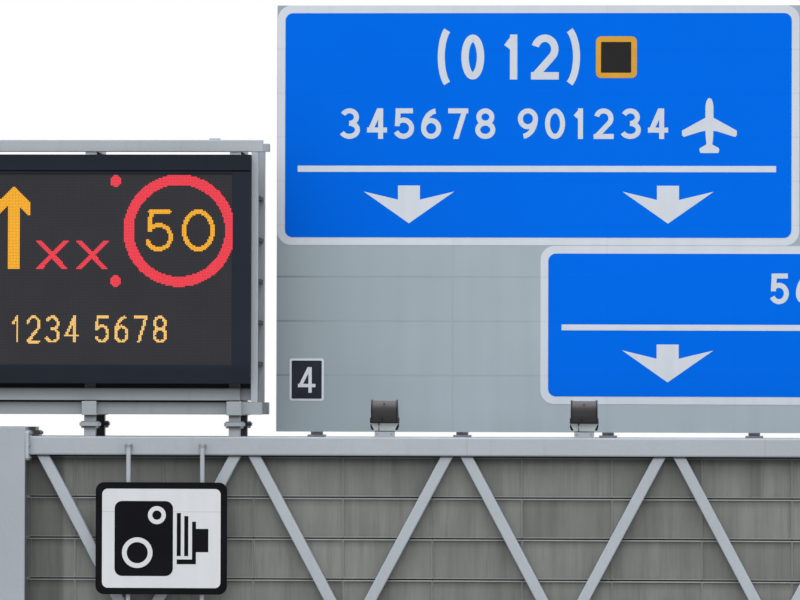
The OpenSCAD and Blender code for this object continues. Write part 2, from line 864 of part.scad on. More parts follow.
// Columns of planks, and the strips that close the joints between the columns
module sign_planks() {
    last = len(panel_edges) - 2;
    color(panel_c) for (k = [0 : last]) {
        x0 = panel_edges[k] + (k == 0 ? 0 : joint_gap / 2);
        x1 = panel_edges[k + 1] - (k == last ? 0 : joint_gap / 2);
        translate([0, panel_y, panel_z]) plate_yz(x0, x1 - x0) plank_section();
        if (k < last)
            translate([x1, panel_y + seam_d, panel_z]) cube([joint_gap, plank_d - seam_d, panel_h]);
    }
}

// Lower left corners of the two sign faces
upper_at = [panel_x + upper_in, panel_top - upper_h];
lower_at = [panel_end - lower_in - face_w, upper_at[1] - face_gap - lower_h];

module sign_borders() {
    color(white_c) {
        plate_xz(panel_y - face_t, face_t) translate(upper_at) round_rect(face_w, upper_h, border_r);
        plate_xz(panel_y - face_t, face_t) translate(lower_at) round_rect(face_w, lower_h, border_r);
    }
}

module field(at, h) {
    plate_xz(panel_y - 2 * face_t, face_t) translate([at[0] + border_w, at[1] + border_w])
        round_rect(face_w - 2 * border_w, h - 2 * border_w, field_r);
}

module sign_fields() {
    color(blue_c) {
        field(upper_at, upper_h);
        field(lower_at, lower_h);
    }
}

module number_plate() {
    at = [panel_x + plate_in, panel_z + plate_up];
    color(black_c) plate_xz(panel_y - face_t, face_t) translate(at)
        round_rect(plate_w, plate_h, plate_r);
    color(black_c) plate_xz(panel_y - 2 * face_t, face_t)
        translate([at[0] + plate_edge, at[1] + plate_edge])
        round_rect(plate_w - 2 * plate_edge, plate_h - 2 * plate_edge, plate_r / 2);
}

// Camera sign: a plate on channels, hung on two tubes in front of the chords
cam_mid = -leg_in + cam_x;
cam_tube_y = front_y - cam_pad_t - cam_tube_d / 2;
cam_ch_y = cam_tube_y - cam_tube_d / 2 - cam_ch_d;
cam_z = chord_top - cam_drop - cam_h;

module camera_sign_pads() {
    color(steel_c) for (x = cam_tubes, z = [bottom_z, top_z])
        bar_x(cam_mid + x - cam_pad_w / 2, cam_mid + x + cam_pad_w / 2,
            front_y - cam_pad_t / 2, z, cam_pad_t, cam_pad_h);
}

module camera_sign_tubes() {
    z0 = bottom_z - cam_pad_h;
    color(silver_c) for (x = cam_tubes) translate([cam_mid + x, cam_tube_y, z0])
        cylinder(d = cam_tube_d, h = chord_top - cam_tube_drop - z0);
}

module camera_sign_channels() {
    half = cam_w / 2 - cam_ch_end;
    color(silver_c) for (z = [cam_z + cam_ch_in, cam_z + cam_h - cam_ch_in])
        bar_x(cam_mid - half, cam_mid + half, cam_ch_y + cam_ch_d / 2, z, cam_ch_d, cam_ch_h);
}

module camera_sign_plate() {
    color(black_c) plate_xz(cam_ch_y - cam_t, cam_t)
        translate([cam_mid - cam_w / 2, cam_z]) round_rect(cam_w, cam_h, cam_r);
    color(white_c) plate_xz(cam_ch_y - cam_t - face_t, face_t)
        translate([cam_mid - cam_w / 2 + cam_edge, cam_z + cam_edge])
        round_rect(cam_w - 2 * cam_edge, cam_h - 2 * cam_edge, cam_field_r);
}

// Floodlights: on the front top chord, turned up towards the direction sign
stirrup_z = chord_top + flood_base_h;
lamp_z = stirrup_z + stirrup_h;

// Places its children at the middle of each floodlight, on the front top chord
module at_floods() {
    for (x = flood_at) translate([panel_x + x, -side_y, 0]) children();
}

module floodlight_bases() {
    color(steel_c) at_floods() bar_z(chord_top, stirrup_z, 0, 0, flood_base_w, flood_base_d);
}

// Folded pan, open at its top, with flared sides
module floodlight_stirrups() {
    a = flood_base_w / 2;
    b = stirrup_w / 2;
    t = stirrup_t;
    flare = (b - a) / stirrup_h;
    side = t * sqrt(1 + flare * flare);
    low = a + t * flare - side;
    high = b + past * flare - side;
    color(silver_c) at_floods() translate([0, 0, stirrup_z]) difference() {
        plate_xz(-stirrup_d / 2, stirrup_d)
            polygon([[-a, 0], [a, 0], [b, stirrup_h], [-b, stirrup_h]]);
        plate_xz(t - stirrup_d / 2, stirrup_d - 2 * t)
            polygon([[-low, t], [low, t], [high, stirrup_h + past], [-high, stirrup_h + past]]);
    }
}

// Side of the lamp, in Y and Z: a round back and a face that leans up to the sign.
// The body lies s inside the outline of the cheeks.
module lamp_side(s) {
    d = lamp_d / 2;
    difference() {
        union() {
            translate([s - d, 0]) square([2 * (d - s), lamp_h - lamp_r]);
            translate([lamp_r - d, 0]) square([2 * d - lamp_r - s, lamp_h - s]);
            translate([lamp_r - d, lamp_h - lamp_r]) circle(r = lamp_r - s);
        }
        translate([d - s, rim_h]) rotate([0, 0, lamp_lean]) square([lamp_d, 2 * lamp_h]);
    }
}

module floodlight_lamps() {
    l = lamp_w + 2 * lamp_cheek;
    color(lamp_c) at_floods() translate([0, 0, lamp_z]) {
        plate_yz(-lamp_w / 2, lamp_w) lamp_side(cheek_out);
        for (x = [-l / 2, lamp_w / 2]) plate_yz(x, lamp_cheek) lamp_side(0);
        bar_z(0, rim_h, 0, 0, l + 2 * rim_out, lamp_d);
    }
}

module floodlight_glasses() {
    h = (lamp_h - rim_h) / cos(lamp_lean) - 2 * lamp_cheek;
    color(silver_c) at_floods() translate([0, lamp_d / 2 - cheek_out, lamp_z + rim_h])
        rotate([lamp_lean, 0, 0]) translate([-lamp_w / 2, 0, lamp_cheek])
        cube([lamp_w, glass_t, h]);
}

base_plates();
base_gussets();
left_front_leg();
left_rear_leg();
right_front_leg();
right_rear_leg();
leg_caps();
left_leg_bracing();
right_leg_bracing();
leg_landing_plates();
truss_end_plates();
front_top_chord();
front_bottom_chord();
rear_top_chord();
rear_bottom_chord();
front_diagonals();
rear_diagonals();
top_bracing();
floor_beams();
floor_plates();
tray_rails();
wall_trays();
tray_seals();
message_lower_stubs();
message_upper_stubs();
message_lower_frame();
message_packers();
message_upper_frame();
message_pads();
message_seals();
message_posts();
message_rungs();
message_top_frame();
message_housing();
message_bezel();
message_screen();
message_doors();
sign_feet();
sign_posts();
sign_rails();
sign_planks();
sign_borders();
sign_fields();
number_plate();
camera_sign_pads();
camera_sign_tubes();
camera_sign_channels();
camera_sign_plate();
floodlight_bases();
floodlight_stirrups();
floodlight_lamps();
floodlight_glasses();
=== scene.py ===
"""Looks of the overhead sign gantry: finishes, sign faces, lamp picture and small fittings.

Metres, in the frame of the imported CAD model: X runs along the span, +Z is up, and traffic
meets the -Y face. The origin is on the ground below the middle of the span.
"""

import math
from collections import namedtuple

import bpy
import numpy as np
from mathutils import Matrix, Vector


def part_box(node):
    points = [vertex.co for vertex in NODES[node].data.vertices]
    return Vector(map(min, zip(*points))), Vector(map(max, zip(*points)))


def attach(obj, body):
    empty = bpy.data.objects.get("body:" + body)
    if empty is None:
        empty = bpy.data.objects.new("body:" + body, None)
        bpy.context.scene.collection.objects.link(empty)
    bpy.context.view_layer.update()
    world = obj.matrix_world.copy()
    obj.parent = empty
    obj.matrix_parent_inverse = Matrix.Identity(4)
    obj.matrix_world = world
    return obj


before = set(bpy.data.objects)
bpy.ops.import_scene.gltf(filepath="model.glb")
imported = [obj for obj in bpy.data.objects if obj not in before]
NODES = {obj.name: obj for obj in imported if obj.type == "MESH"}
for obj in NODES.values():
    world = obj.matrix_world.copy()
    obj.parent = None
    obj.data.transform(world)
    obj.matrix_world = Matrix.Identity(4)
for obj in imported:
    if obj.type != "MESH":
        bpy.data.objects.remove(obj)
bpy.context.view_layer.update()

SCENE = bpy.context.scene
BODY = "root"
X, Y, Z = range(3)
CORNERS = ((-1, -1), (-1, 1), (1, -1), (1, 1))
LEGS = ("left_front_leg", "left_rear_leg", "right_front_leg", "right_rear_leg")
CHORDS = ("front_top_chord", "front_bottom_chord", "rear_top_chord", "rear_bottom_chord")

# Colours, in 0..255 as a screen shows them
STEEL = (167, 174, 181)
STEEL_DIRT = (96, 104, 106)
TRAY = (121, 123, 120)
TRAY_STAIN = (92, 93, 86)
# Tray rims: cleaner than the sheet and lighter with a painted highlight
TRAY_RIM = (146, 150, 150)
PANEL = (160, 172, 180)
PANEL_EDGE = (150, 162, 169)
BLUE = (5, 104, 226)
BLUE_DEEP = (5, 95, 213)
WHITE = (203, 210, 219)
WHITE_NEUTRAL = (209, 212, 216)
WHITE_PLATE = (214, 219, 227)
BLACK = (18, 18, 23)
PLATE_FIELD = (43, 47, 57)
SYMBOL_FIELD = (38, 37, 37)
# Pads below the housing, dark as painted shade
PAD_SHADED = (80, 82, 85)
NAVY = (31, 37, 49)
SCREEN_LENS = (45, 45, 48)
SCREEN_GRID = (60, 60, 64)
AMBER = (240, 170, 50)
AMBER_PALE = (240, 192, 112)
RED = (233, 67, 80)
AMBER_SHEET = (210, 156, 52)
CASTING_PALE = (104, 101, 103)
CASTING_DARK = (27, 27, 29)
SILVER = (204, 213, 217)
ZINC = (150, 154, 158)
RUBBER = (34, 35, 38)
GLASS = (205, 212, 216)
FLOOR_SEEN = (214, 214, 214)
FLOOR_BOUNCE = (148, 148, 148)

# Sizes of the CAD nodes that finishes and fittings go by
FLANGE_T = 0.023
TRAY_GAP_X = 0.005
TRAY_GAP_Z = 0.018
TRAY_LIP_Z = 0.018
PLANK_SEAM = 0.004
PLANK_JOINT = 0.005
LAMP_CHEEK = 0.018
STUB_HALF = 0.075
PACKER_HALF_Y = 0.05
SAME_WIDTH = 0.0004

# Sheets and lamps
SHEET_T, LAYER_T, STROKE_STEP = 0.0012, 0.0015, 0.0002
LED_PITCH, LED_SIDE, LED_LIFT = 0.02, 0.018, 0.0015


# Edges of the CAD nodes


def levels(node, axis):
    """Sorted coordinates of a node's vertices along one axis, to 0.1 mm."""
    return sorted({round(v.co[axis], 4) for v in NODES[node].data.vertices})


def pairs(edges):
    """The first edge with the second, the third with the fourth, and so on."""
    return list(zip(edges[0::2], edges[1::2]))


def spans(node, axis, width):
    """Pairs of neighbouring edges of a node that lie width apart along one axis."""
    edges = levels(node, axis)
    return [(a, b) for a, b in zip(edges, edges[1:]) if abs(b - a - width) < SAME_WIDTH]


def middles(edges):
    return [(a + b) / 2 for a, b in edges]


def centre(node):
    """X, Y and Z of the middle of a node's box."""
    return middles(zip(*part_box(node)))


# Shader graphs

NOISE_LOW, NOISE_HIGH = 0.3, 0.7


def srgb(colour):
    """Linear colour with alpha of a colour given in 0..255."""
    shares = [c / 255 for c in colour]
    linear = [c / 12.92 if c <= 0.04045 else ((c + 0.055) / 1.055) ** 2.4 for c in shares]
    return (*linear, 1.0)


def math_node(operation):
    """Method of a graph that adds one math node and gives its output."""
    return lambda graph, a, b=0.0: graph.out("Math", {0: a, 1: b}, operation=operation)


class Graph:
    """Adds shader nodes to the tree of a material or of the world, and links them."""

    plus = math_node("ADD")
    minus = math_node("SUBTRACT")
    times = math_node("MULTIPLY")
    over = math_node("DIVIDE")
    most = math_node("MAXIMUM")
    size = math_node("ABSOLUTE")
    whole = math_node("FLOOR")
    part = math_node("FRACT")
    # The last two give 1 where they hold, else 0
    below = math_node("LESS_THAN")
    above = math_node("GREATER_THAN")

    def __init__(self, owner):
        owner.use_nodes = True
        self.owner = owner
        self.tree = owner.node_tree
        self.tree.nodes.clear()

    def node(self, kind, inputs=None, **settings):
        """A new node, whose inputs are values or outputs of other nodes."""
        made = self.tree.nodes.new("ShaderNode" + kind)
        for key, value in settings.items():
            setattr(made, key, value)
        for socket, value in (inputs or {}).items():
            if isinstance(value, bpy.types.NodeSocket):
                self.tree.links.new(value, made.inputs[socket])
            else:
                made.inputs[socket].default_value = value
        return made

    def out(self, kind, inputs=None, **settings):
        """First output of a new node."""
        return self.node(kind, inputs, **settings).outputs[0]

    def off(self, value, middle):
        """How far value is from middle, to either side."""
        return self.size(self.minus(value, middle))

    def near(self, value, centres, reach):
        """1 where value lies within reach of one of the centres, else 0."""
        found = 0.0
        for middle in centres:
            found = self.most(found, self.below(self.off(value, middle), reach))
        return found

    def counted(self, value, start, pitch):
        """value in pitches from start."""
        return self.over(self.minus(value, start), pitch)

    def ramp(self, value, low, high, to_low=0.0, to_high=1.0):
        """value mapped from low..high to to_low..to_high, held at both ends."""
        return self.out("MapRange", {0: value, 1: low, 2: high, 3: to_low, 4: to_high}, clamp=True)

    def stops(self, value, *stops):
        """Factor up to 1 that runs through stops of value and factor, held at both ends."""
        low, high = stops[0][0], stops[-1][0]
        made = self.node("ValToRGB", {0: self.ramp(value, low, high)})
        marks = made.color_ramp.elements
        marks[0].color = (*[stops[0][1]] * 3, 1.0)
        marks[-1].color = (*[stops[-1][1]] * 3, 1.0)
        for at, factor in stops[1:-1]:
            marks.new((at - low) / (high - low)).color = (*[factor] * 3, 1.0)
        return made.outputs[0]

    def noise(self, at, scale, detail=3.0, rough=0.55):
        inputs = {"Vector": at, "Scale": scale, "Detail": detail, "Roughness": rough}
        return self.out("TexNoise", inputs)

    def runs(self, at, scales, detail=4.0, rough=0.55):
        """Noise with a scale for each axis, for runs and brushed grain."""
        drawn = self.out("VectorMath", {0: at, 1: scales}, operation="MULTIPLY")
        return self.noise(drawn, 1.0, detail, rough)

    def spread(self, noise, low, high):
        """A noise value mapped to low..high."""
        return self.ramp(noise, NOISE_LOW, NOISE_HIGH, low, high)

    def colour(self, colour):
        """Output of a colour in 0..255. An output stays as it is."""
        if isinstance(colour, bpy.types.NodeSocket):
            return colour
        made = self.out("RGB")
        made.default_value = srgb(colour)
        return made

    def scaled(self, colour, factor):
        return self.out("VectorMath", {0: colour, "Scale": factor}, operation="SCALE")

    def toned(self, colour, noise, low, high):
        """colour times a factor that runs from low to high with a noise value."""
        return self.scaled(self.colour(colour), self.spread(noise, low, high))

    def mix(self, factor, a, b):
        """Colour a where factor is 0, colour b where it is 1."""
        inputs = {0: factor, 6: self.colour(a), 7: self.colour(b)}
        return self.node("Mix", inputs, data_type="RGBA").outputs[2]

    def close(self, shader):
        """Makes shader the material's surface and returns the material."""
        self.node("OutputMaterial", {"Surface": shader})
        return self.owner

    def surface(self, colour, rough=0.5, specular=0.1, metallic=0.0, height=None, depth=0.001):
        """Closes the material with one even shader, and with a bump where height is given."""
        inputs = {"Base Color": colour, "Roughness": rough, "Metallic": metallic}
        inputs["Specular IOR Level"] = specular
        if height is not None:
            bump = {"Height": height, "Distance": depth, "Strength": 0.5}
            inputs["Normal"] = self.out("Bump", bump)
        return self.close(self.out("BsdfPrincipled", inputs))


class Finish(Graph):
    """Graph of a new material, with the place in the frame as at, x, y and z."""

    def __init__(self, name):
        super().__init__(bpy.data.materials.new(name))
        self.at = self.node("TexCoord").outputs["Object"]
        self.x, self.y, self.z = self.node("SeparateXYZ", {0: self.at}).outputs


def paint(material, *nodes):
    """Gives CAD nodes a finish, instead of an earlier one, and returns it."""
    for node in nodes:
        slots = NODES[node].data.materials
        slots.clear()
        slots.append(material)
    return material


def finish(*nodes):
    """Turns a function into the material that it makes under its name, on the nodes."""
    return lambda build: paint(build(Finish(build.__name__)), *nodes)


# Paint on steel

CHORD_LINES, CHORD_LINE_HALF = (-2.7, 1.27), 0.012
# Width of the painted shade along the edge of the left legs' inner sides
LEG_SIDE_SHADE_T = 0.012


def gloss_paint(shade):
    """Grey gloss paint, slightly clouded, with faint runs of grime down the faces.

    shade gives a darkening factor for the place, mostly painted shade where other parts keep the
    light off.
    """
    g = Finish(shade.__name__)
    speck = g.noise(g.at, 34.0, 4.0)
    dirty = g.ramp(g.runs(g.at, (7.0, 7.0, 0.35)), 0.56, 0.78, 0.0, 0.12)
    base = g.toned(STEEL, g.noise(g.at, 0.8), 0.95, 1.04)
    base = g.toned(base, speck, 0.965, 1.03)
    base = g.scaled(g.mix(dirty, base, STEEL_DIRT), shade(g))
    return g.surface(base, g.spread(speck, 0.38, 0.52), 0.3, height=speck, depth=0.0008)


def steel(*nodes):
    """Turns a function into gloss paint with the painted shade that it gives, on the nodes."""
    return lambda shade: paint(gloss_paint(shade), *nodes)


@steel(*NODES)
def steel_paint(g):
    """The same everywhere. Nodes with a finish of their own lose this one below."""
    return 1.0


@steel("message_upper_frame", "message_packers")
def upper_frame_shaded_paint(g):
    """Painted shade: dark below the housing and paler towards the frame's foot."""
    low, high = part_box("message_upper_frame")
    return g.stops(g.z, (low.z, 0.74), (high.z - 0.025, 0.38), (high.z, 0.17))


@steel("message_lower_frame")
def lower_frame_shaded_paint(g):
    """Painted shade: dark between the stub posts, while the cross-beams' ends stand in the light.
    """
    low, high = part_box("message_lower_frame")
    middle = centre("message_lower_frame")[X]
    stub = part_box("message_lower_stubs")[1].x - middle
    down = g.stops(g.z, (low.z, 0.7), (low.z + 0.09, 0.62), (high.z, 0.2))
    beside = g.above(g.off(g.x, middle), stub - 0.06)
    free = g.most(beside, g.below(g.y, low.y + 0.003))
    return g.most(down, g.times(free, 0.8))


@steel("message_lower_stubs", "message_upper_stubs")
def stub_shaded_paint(g):
    """Painted shade under the flanges and the frame, and on the fronts of the rear posts."""
    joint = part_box("message_lower_stubs")[1].z
    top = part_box("message_upper_stubs")[1].z
    under, over = joint - FLANGE_T, joint + FLANGE_T
    down = g.stops(g.z, (under - 0.07, 0.93), (under - 0.002, 0.2), (under, 0.8), (over, 0.8),
                   (top - 0.05, 0.95), (top - 0.02, 0.45), (top, 0.12))
    low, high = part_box("rear_top_chord")
    back = g.stops(g.y, (0.0, 1.0), (0.01, 0.12), (low.y + 0.05, 0.12), (high.y - 0.05, 1.0))
    return g.times(down, back)


@steel("front_diagonals")
def diagonal_paint(g):
    """A dark line where a diagonal meets the chord above it."""
    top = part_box("front_diagonals")[1].z
    return g.stops(g.z, (top - 0.03, 1.0), (top - 0.02, 0.35), (top, 0.25))


@steel("front_top_chord")
def chord_shaded_paint(g):
    """Darker below the message sign as painted shade, with faint upright lines at the shop joints.
    """
    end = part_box("message_housing")[1].x
    under = g.stops(g.x, (end, 0.93), (end + 1.5, 1.0))
    line = g.near(g.x, CHORD_LINES, CHORD_LINE_HALF)
    return g.times(under, g.minus(1.0, g.times(line, 0.09)))


@steel("left_front_leg", "left_rear_leg")
def leg_shaded_paint(g):
    """Painted shade: a darker head below the message sign, and a dark inner side beside the tray
    wall.
    """
    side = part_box("left_front_leg")[1].x
    head = g.stops(g.z, (3.0, 1.0), (6.5, 0.88))
    inner = g.stops(g.x, (side - LEG_SIDE_SHADE_T, 0.0), (side - 0.001, 0.66))
    wall = g.stops(g.z, (5.9, 0.0), (6.3, 1.0), (8.85, 1.0), (9.0, 0.0))
    # Painted shade on the leg's inner side beside the tray wall
    side_shade = g.times(g.times(inner, wall), g.below(g.y, 0.0))
    return g.times(head, g.minus(1.0, side_shade))


# Sheets

TRAY_STREAK_X, TRAY_STREAK_HALF = 1.145, 0.075
BLUE_CORNER_Z = 11.64
CAMERA_SEAM_Z, CAMERA_SEAM_HALF = 7.946, 0.005


@finish("wall_trays", "tray_rails", "floor_plates")
def tray_sheet(g):
    """Stained grey sheet: each tray has its own tone; its rims are cleaner than the sheet and
    carry a painted highlight.
    """
    low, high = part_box("wall_trays")
    joints = middles(spans("wall_trays", X, TRAY_GAP_X))
    rows = [low.z, *levels("tray_seals", Z)[1:-2:2]]
    pitch = rows[1] - rows[0]
    column = g.whole(g.counted(g.x, joints[0], joints[1] - joints[0]))
    row = g.whole(g.counted(g.z, rows[0], pitch))
    cell = g.out("CombineXYZ", {0: column, 1: row})
    own = g.out("TexWhiteNoise", {0: cell}, noise_dimensions="3D")
    at = g.out("VectorMath", {0: g.at, 1: cell}, operation="ADD")
    cloud = g.runs(at, (1.7, 1.7, 1.19))
    wide = g.runs(at, (3.4, 3.4, 0.35), 3.0)
    fine = g.runs(g.at, (60.0, 60.0, 3.0), 3.0)
    runs = g.runs(at, (9.0, 9.0, 0.5), 5.0, 0.65)
    base = g.toned(TRAY, own, 0.94, 1.06)
    base = g.toned(base, cloud, 0.9, 1.08)
    base = g.toned(base, wide, 0.86, 1.12)
    base = g.toned(base, fine, 0.95, 1.05)
    base = g.mix(g.ramp(runs, 0.5, 0.74, 0.0, 0.5), base, TRAY_STAIN)
    top_row = g.near(row, (len(rows) - 1,), 0.5)
    streak = g.times(g.near(g.x, (TRAY_STREAK_X,), TRAY_STREAK_HALF), top_row)
    base = g.mix(g.times(streak, 0.45), base, TRAY_STAIN)
    # Shade below the upper lip of each tray, below the chord and towards the legs
    up = g.minus(g.minus(g.z, rows[0]), g.times(row, pitch))
    top = pitch - TRAY_GAP_Z
    under = g.stops(up, (top - 0.13, 1.0), (top - 0.07, 0.8), (top - TRAY_LIP_Z, 0.58))
    chord = g.stops(g.z, (high.z - 0.1, 1.0), (high.z - TRAY_LIP_Z, 0.6), (high.z, 0.35))
    legs = g.stops(g.size(g.x), (high.x - 0.47, 1.0), (high.x - 0.41, 0.6),
                   (high.x - 0.12, 0.66), (high.x, 0.63))
    # Rims: cleaner than the sheet, with a painted highlight that is palest along the upper edge
    lip = g.ramp(g.y, low.y + 0.002, low.y + 0.005, 1.0, 0.0)
    upper = g.above(up, top - TRAY_LIP_Z)
    lower = g.below(up, TRAY_LIP_Z)
    pale = g.most(upper, g.minus(0.55, g.times(lower, 0.1)))
    base = g.scaled(base, g.most(under, g.times(lip, upper)))
    base = g.mix(g.times(lip, pale), base, g.toned(TRAY_RIM, runs, 1.04, 0.9))
    base = g.scaled(g.scaled(base, chord), legs)
    return g.surface(base, 0.62, 0.2, height=cloud, depth=0.004)


def plank_lines(g, seam_half, joint_half):
    """1 on the seams and joints between the planks of the direction sign, else 0."""
    seams = middles(spans("sign_planks", Z, PLANK_SEAM))
    joints = middles(spans("sign_planks", X, PLANK_JOINT))
    return g.most(g.near(g.z, seams, seam_half), g.near(g.x, joints, joint_half))


@finish("sign_planks")
def panel_sheet(g):
    """Grey sheeting of the sign panel: plank tones, faint seams, a darker left edge and painted
    light towards its foot.
    """
    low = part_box("sign_planks")[0]
    base = g.toned(PANEL, g.noise(g.at, 0.7), 0.97, 1.03)
    base = g.toned(base, g.runs(g.at, (5.0, 5.0, 0.3)), 1.02, 0.96)
    base = g.mix(g.ramp(g.x, low.x, low.x + 2.6, 1.0, 0.0), base, PANEL_EDGE)
    # Painted light: the sheet grows lighter towards its foot
    base = g.scaled(base, g.ramp(g.z, low.z, low.z + 0.6, 1.1, 1.0))
    strength = g.ramp(g.x, low.x, low.x + 0.8, 0.5, 0.06)
    seam = g.times(plank_lines(g, 0.008, 0.006), strength)
    return g.surface(g.mix(seam, base, STEEL_DIRT), 0.55, 0.2)


@finish("sign_fields")
def blue_sheet(g):
    """Blue reflective sheeting, deeper at the upper face's lower left corner, faint seams."""
    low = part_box("sign_fields")[0]
    corner = (low.x, low.y, BLUE_CORNER_Z)
    cloud = g.noise(g.at, 0.5, 2.0)
    away = g.node("VectorMath", {0: g.at, 1: corner}, operation="DISTANCE").outputs["Value"]
    deep = g.ramp(g.plus(away, g.spread(cloud, -0.5, 0.5)), 0.6, 3.6, 0.6, 0.0)
    base = g.mix(deep, g.toned(BLUE, cloud, 0.985, 1.015), BLUE_DEEP)
    seam = g.times(plank_lines(g, 0.006, 0.005), 0.25)
    return g.surface(g.mix(seam, base, BLUE_DEEP), specular=0.0)


def white_colour(g, tone=WHITE):
    """Reflective white with some grime."""
    base = g.toned(tone, g.noise(g.at, 1.1), 0.97, 1.02)
    return g.toned(base, g.runs(g.at, (8.0, 8.0, 0.6)), 1.01, 0.96)


def plain_white(name, tone):
    g = Finish(name)
    return g.surface(white_colour(g, tone))


@finish("sign_borders")
def white_sheet(g):
    """Reflective white; the planks' seams show faintly through it."""
    seam = g.times(plank_lines(g, 0.007, 0.006), 0.08)
    return g.surface(g.mix(seam, white_colour(g), STEEL_DIRT))


@finish("message_pads")
def pad_paint(g):
    """White packing pads; those below the housing are dark as painted shade."""
    high_up = g.above(g.z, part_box("message_housing")[1].z - 1.0)
    return g.surface(g.mix(high_up, PAD_SHADED, white_colour(g)))


def edged_plate(node, outer_is_white, field, white, seam=None):
    """A plate in two layers: the inner one lies in front and has the other colour."""
    g = Finish(node + "_sheet")
    inner = g.below(g.y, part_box(node)[0].y + LAYER_T)
    dark = g.toned(field, g.noise(g.at, 3.0), 0.85, 1.25)
    light = white_colour(g, white)
    if seam:
        line = g.times(g.near(g.z, (seam,), CAMERA_SEAM_HALF), 0.25)
        light = g.mix(line, light, STEEL_DIRT)
    layers = (light, dark) if outer_is_white else (dark, light)
    paint(g.surface(g.mix(inner, *layers), specular=0.05), node)


def mottled(name, colour, scale, low, high, rough=0.5, specular=0.1, metallic=0.0):
    """One colour, whose tone wavers from low to high in clouds of the given scale."""
    g = Finish(name)
    return g.surface(g.toned(colour, g.noise(g.at, scale), low, high), rough, specular, metallic)


white_marks = plain_white("white_marks", WHITE)
white_neutral = plain_white("white_neutral", WHITE_NEUTRAL)
white_digit = plain_white("white_digit", WHITE_PLATE)
amber_sheet = mottled("amber_sheet", AMBER_SHEET, 4.0, 0.93, 1.05)
symbol_field = mottled("symbol_field", SYMBOL_FIELD, 4.0, 0.93, 1.05)
black_sheet = mottled("black_sheet", BLACK, 2.0, 0.85, 1.2, specular=0.05)
# The ladder rungs are black as painted shade, standing in for their shaded undersides
paint(black_sheet, "message_rungs")
edged_plate("number_plate", True, PLATE_FIELD, WHITE_PLATE)
edged_plate("camera_sign_plate", False, BLACK, WHITE_NEUTRAL, CAMERA_SEAM_Z)

# Metal, rubber, glass and lamps

UNLIT_HALF = 0.34
LAMP_LIGHT = 1.25
# Share of the paler tone of the floodlight casting, by height above its foot
LAMP_PALE_STOPS = ((0.012, 0.0), (0.028, 0.09), (0.11, 0.19), (0.205, 0.28), (0.285, 1.0))

rubber_black = mottled("rubber_black", RUBBER, 8.0, 0.85, 1.15, 0.6, 0.15)
# The seals are black rubber that fills gaps showing only shade, so their black is also painted
# shade
paint(rubber_black, "tray_seals", "message_seals")
bolt_zinc = mottled("bolt_zinc", ZINC, 25.0, 0.8, 1.1, 0.45, 0.4, 0.35)


@finish("sign_rails", "camera_sign_channels", "floodlight_stirrups")
def bare_metal(g):
    """Aluminium and zinc: pale grey with a soft sheen and a fine grain."""
    grain = g.runs(g.at, (12.0, 12.0, 120.0), 3.0)
    base = g.toned(SILVER, grain, 0.9, 1.05)
    return g.surface(base, g.spread(grain, 0.4, 0.55), 0.4, 0.15)


@finish("floodlight_glasses")
def lamp_glass(g):
    """Pale glass with faint upright ribs."""
    ribs = g.runs(g.at, (60.0, 1.0, 1.0), 1.0)
    return g.surface(g.toned(GLASS, ribs, 0.9, 1.05), 0.12, 0.5, height=ribs)


@finish("floodlight_lamps")
def lamp_casting(g):
    """Dark die casting, paler up towards its head, with black cheeks and a black foot."""
    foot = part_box("floodlight_lamps")[0].z
    grain = g.noise(g.at, 60.0)
    pale_share = g.stops(g.z, *[(foot + up, share) for up, share in LAMP_PALE_STOPS])
    cheeks = g.near(g.x, middles(spans("floodlight_lamps", X, LAMP_CHEEK)), LAMP_CHEEK / 2)
    pale_share = g.times(pale_share, g.minus(1.0, g.times(cheeks, 0.75)))
    base = g.mix(pale_share, CASTING_DARK, CASTING_PALE)
    return g.surface(g.toned(base, grain, 0.93, 1.07), specular=0.15, height=grain)


@finish("message_housing", "message_bezel", "message_doors")
def navy_paint(g):
    """Dark housing, dusty on top, with painted shade along its upper and lower edges."""
    low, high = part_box("message_housing")
    pale_share = g.spread(g.runs(g.at, (3.0, 3.0, 0.5)), 0.0, 1.0)
    settled = g.times(g.ramp(g.z, high.z, high.z + 0.002), pale_share)
    base = g.toned(NAVY, g.noise(g.at, 0.9), 0.9, 1.12)
    base = g.mix(g.times(settled, 0.3), base, STEEL_DIRT)
    # Painted shade along the housing's upper and lower edges
    edges = g.stops(g.z, (low.z + 0.18, 0.78), (low.z + 0.3, 1.0), (high.z - 0.3, 1.0),
                    (high.z - 0.18, 0.82))
    return g.surface(g.scaled(base, edges), 0.55, 0.12)


@finish("message_screen")
def lamp_screen(g):
    """Matt black face with a grid of unlit lamps."""
    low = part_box("message_screen")[0]
    offs = [g.off(g.part(g.counted(value, start, LED_PITCH)), 0.5)
            for value, start in ((g.x, low.x), (g.z, low.z))]
    base = g.mix(g.below(g.most(*offs), UNLIT_HALF), SCREEN_GRID, SCREEN_LENS)
    return g.surface(g.toned(base, g.noise(g.at, 1.5), 0.95, 1.05), 0.7, 0.04)


def glowing(name, colour):
    """Lit lamps, each a little stronger or weaker than the next."""
    g = Finish(name)
    strength = g.spread(g.noise(g.at, 55.0, 1.0), LAMP_LIGHT * 0.9, LAMP_LIGHT * 1.1)
    return g.close(g.out("Emission", {"Color": srgb(colour), "Strength": strength}))


# Meshes

MITRE_LEAST = 0.45


def add_object(name, data):
    made = bpy.data.objects.new(name, data)
    SCENE.collection.objects.link(made)
    return made


def add_mesh(name, verts, faces, material):
    mesh = bpy.data.meshes.new(name)
    mesh.from_pydata(verts, [], faces)
    mesh.update()
    mesh.materials.append(material)
    return add_object(name, mesh)


def circle(radius, sides, shift=0.0):
    """Points of a circle round the origin."""
    angles = [2 * math.pi * (i + shift) / sides for i in range(sides)]
    return [(radius * math.cos(a), radius * math.sin(a), 0.0) for a in angles]


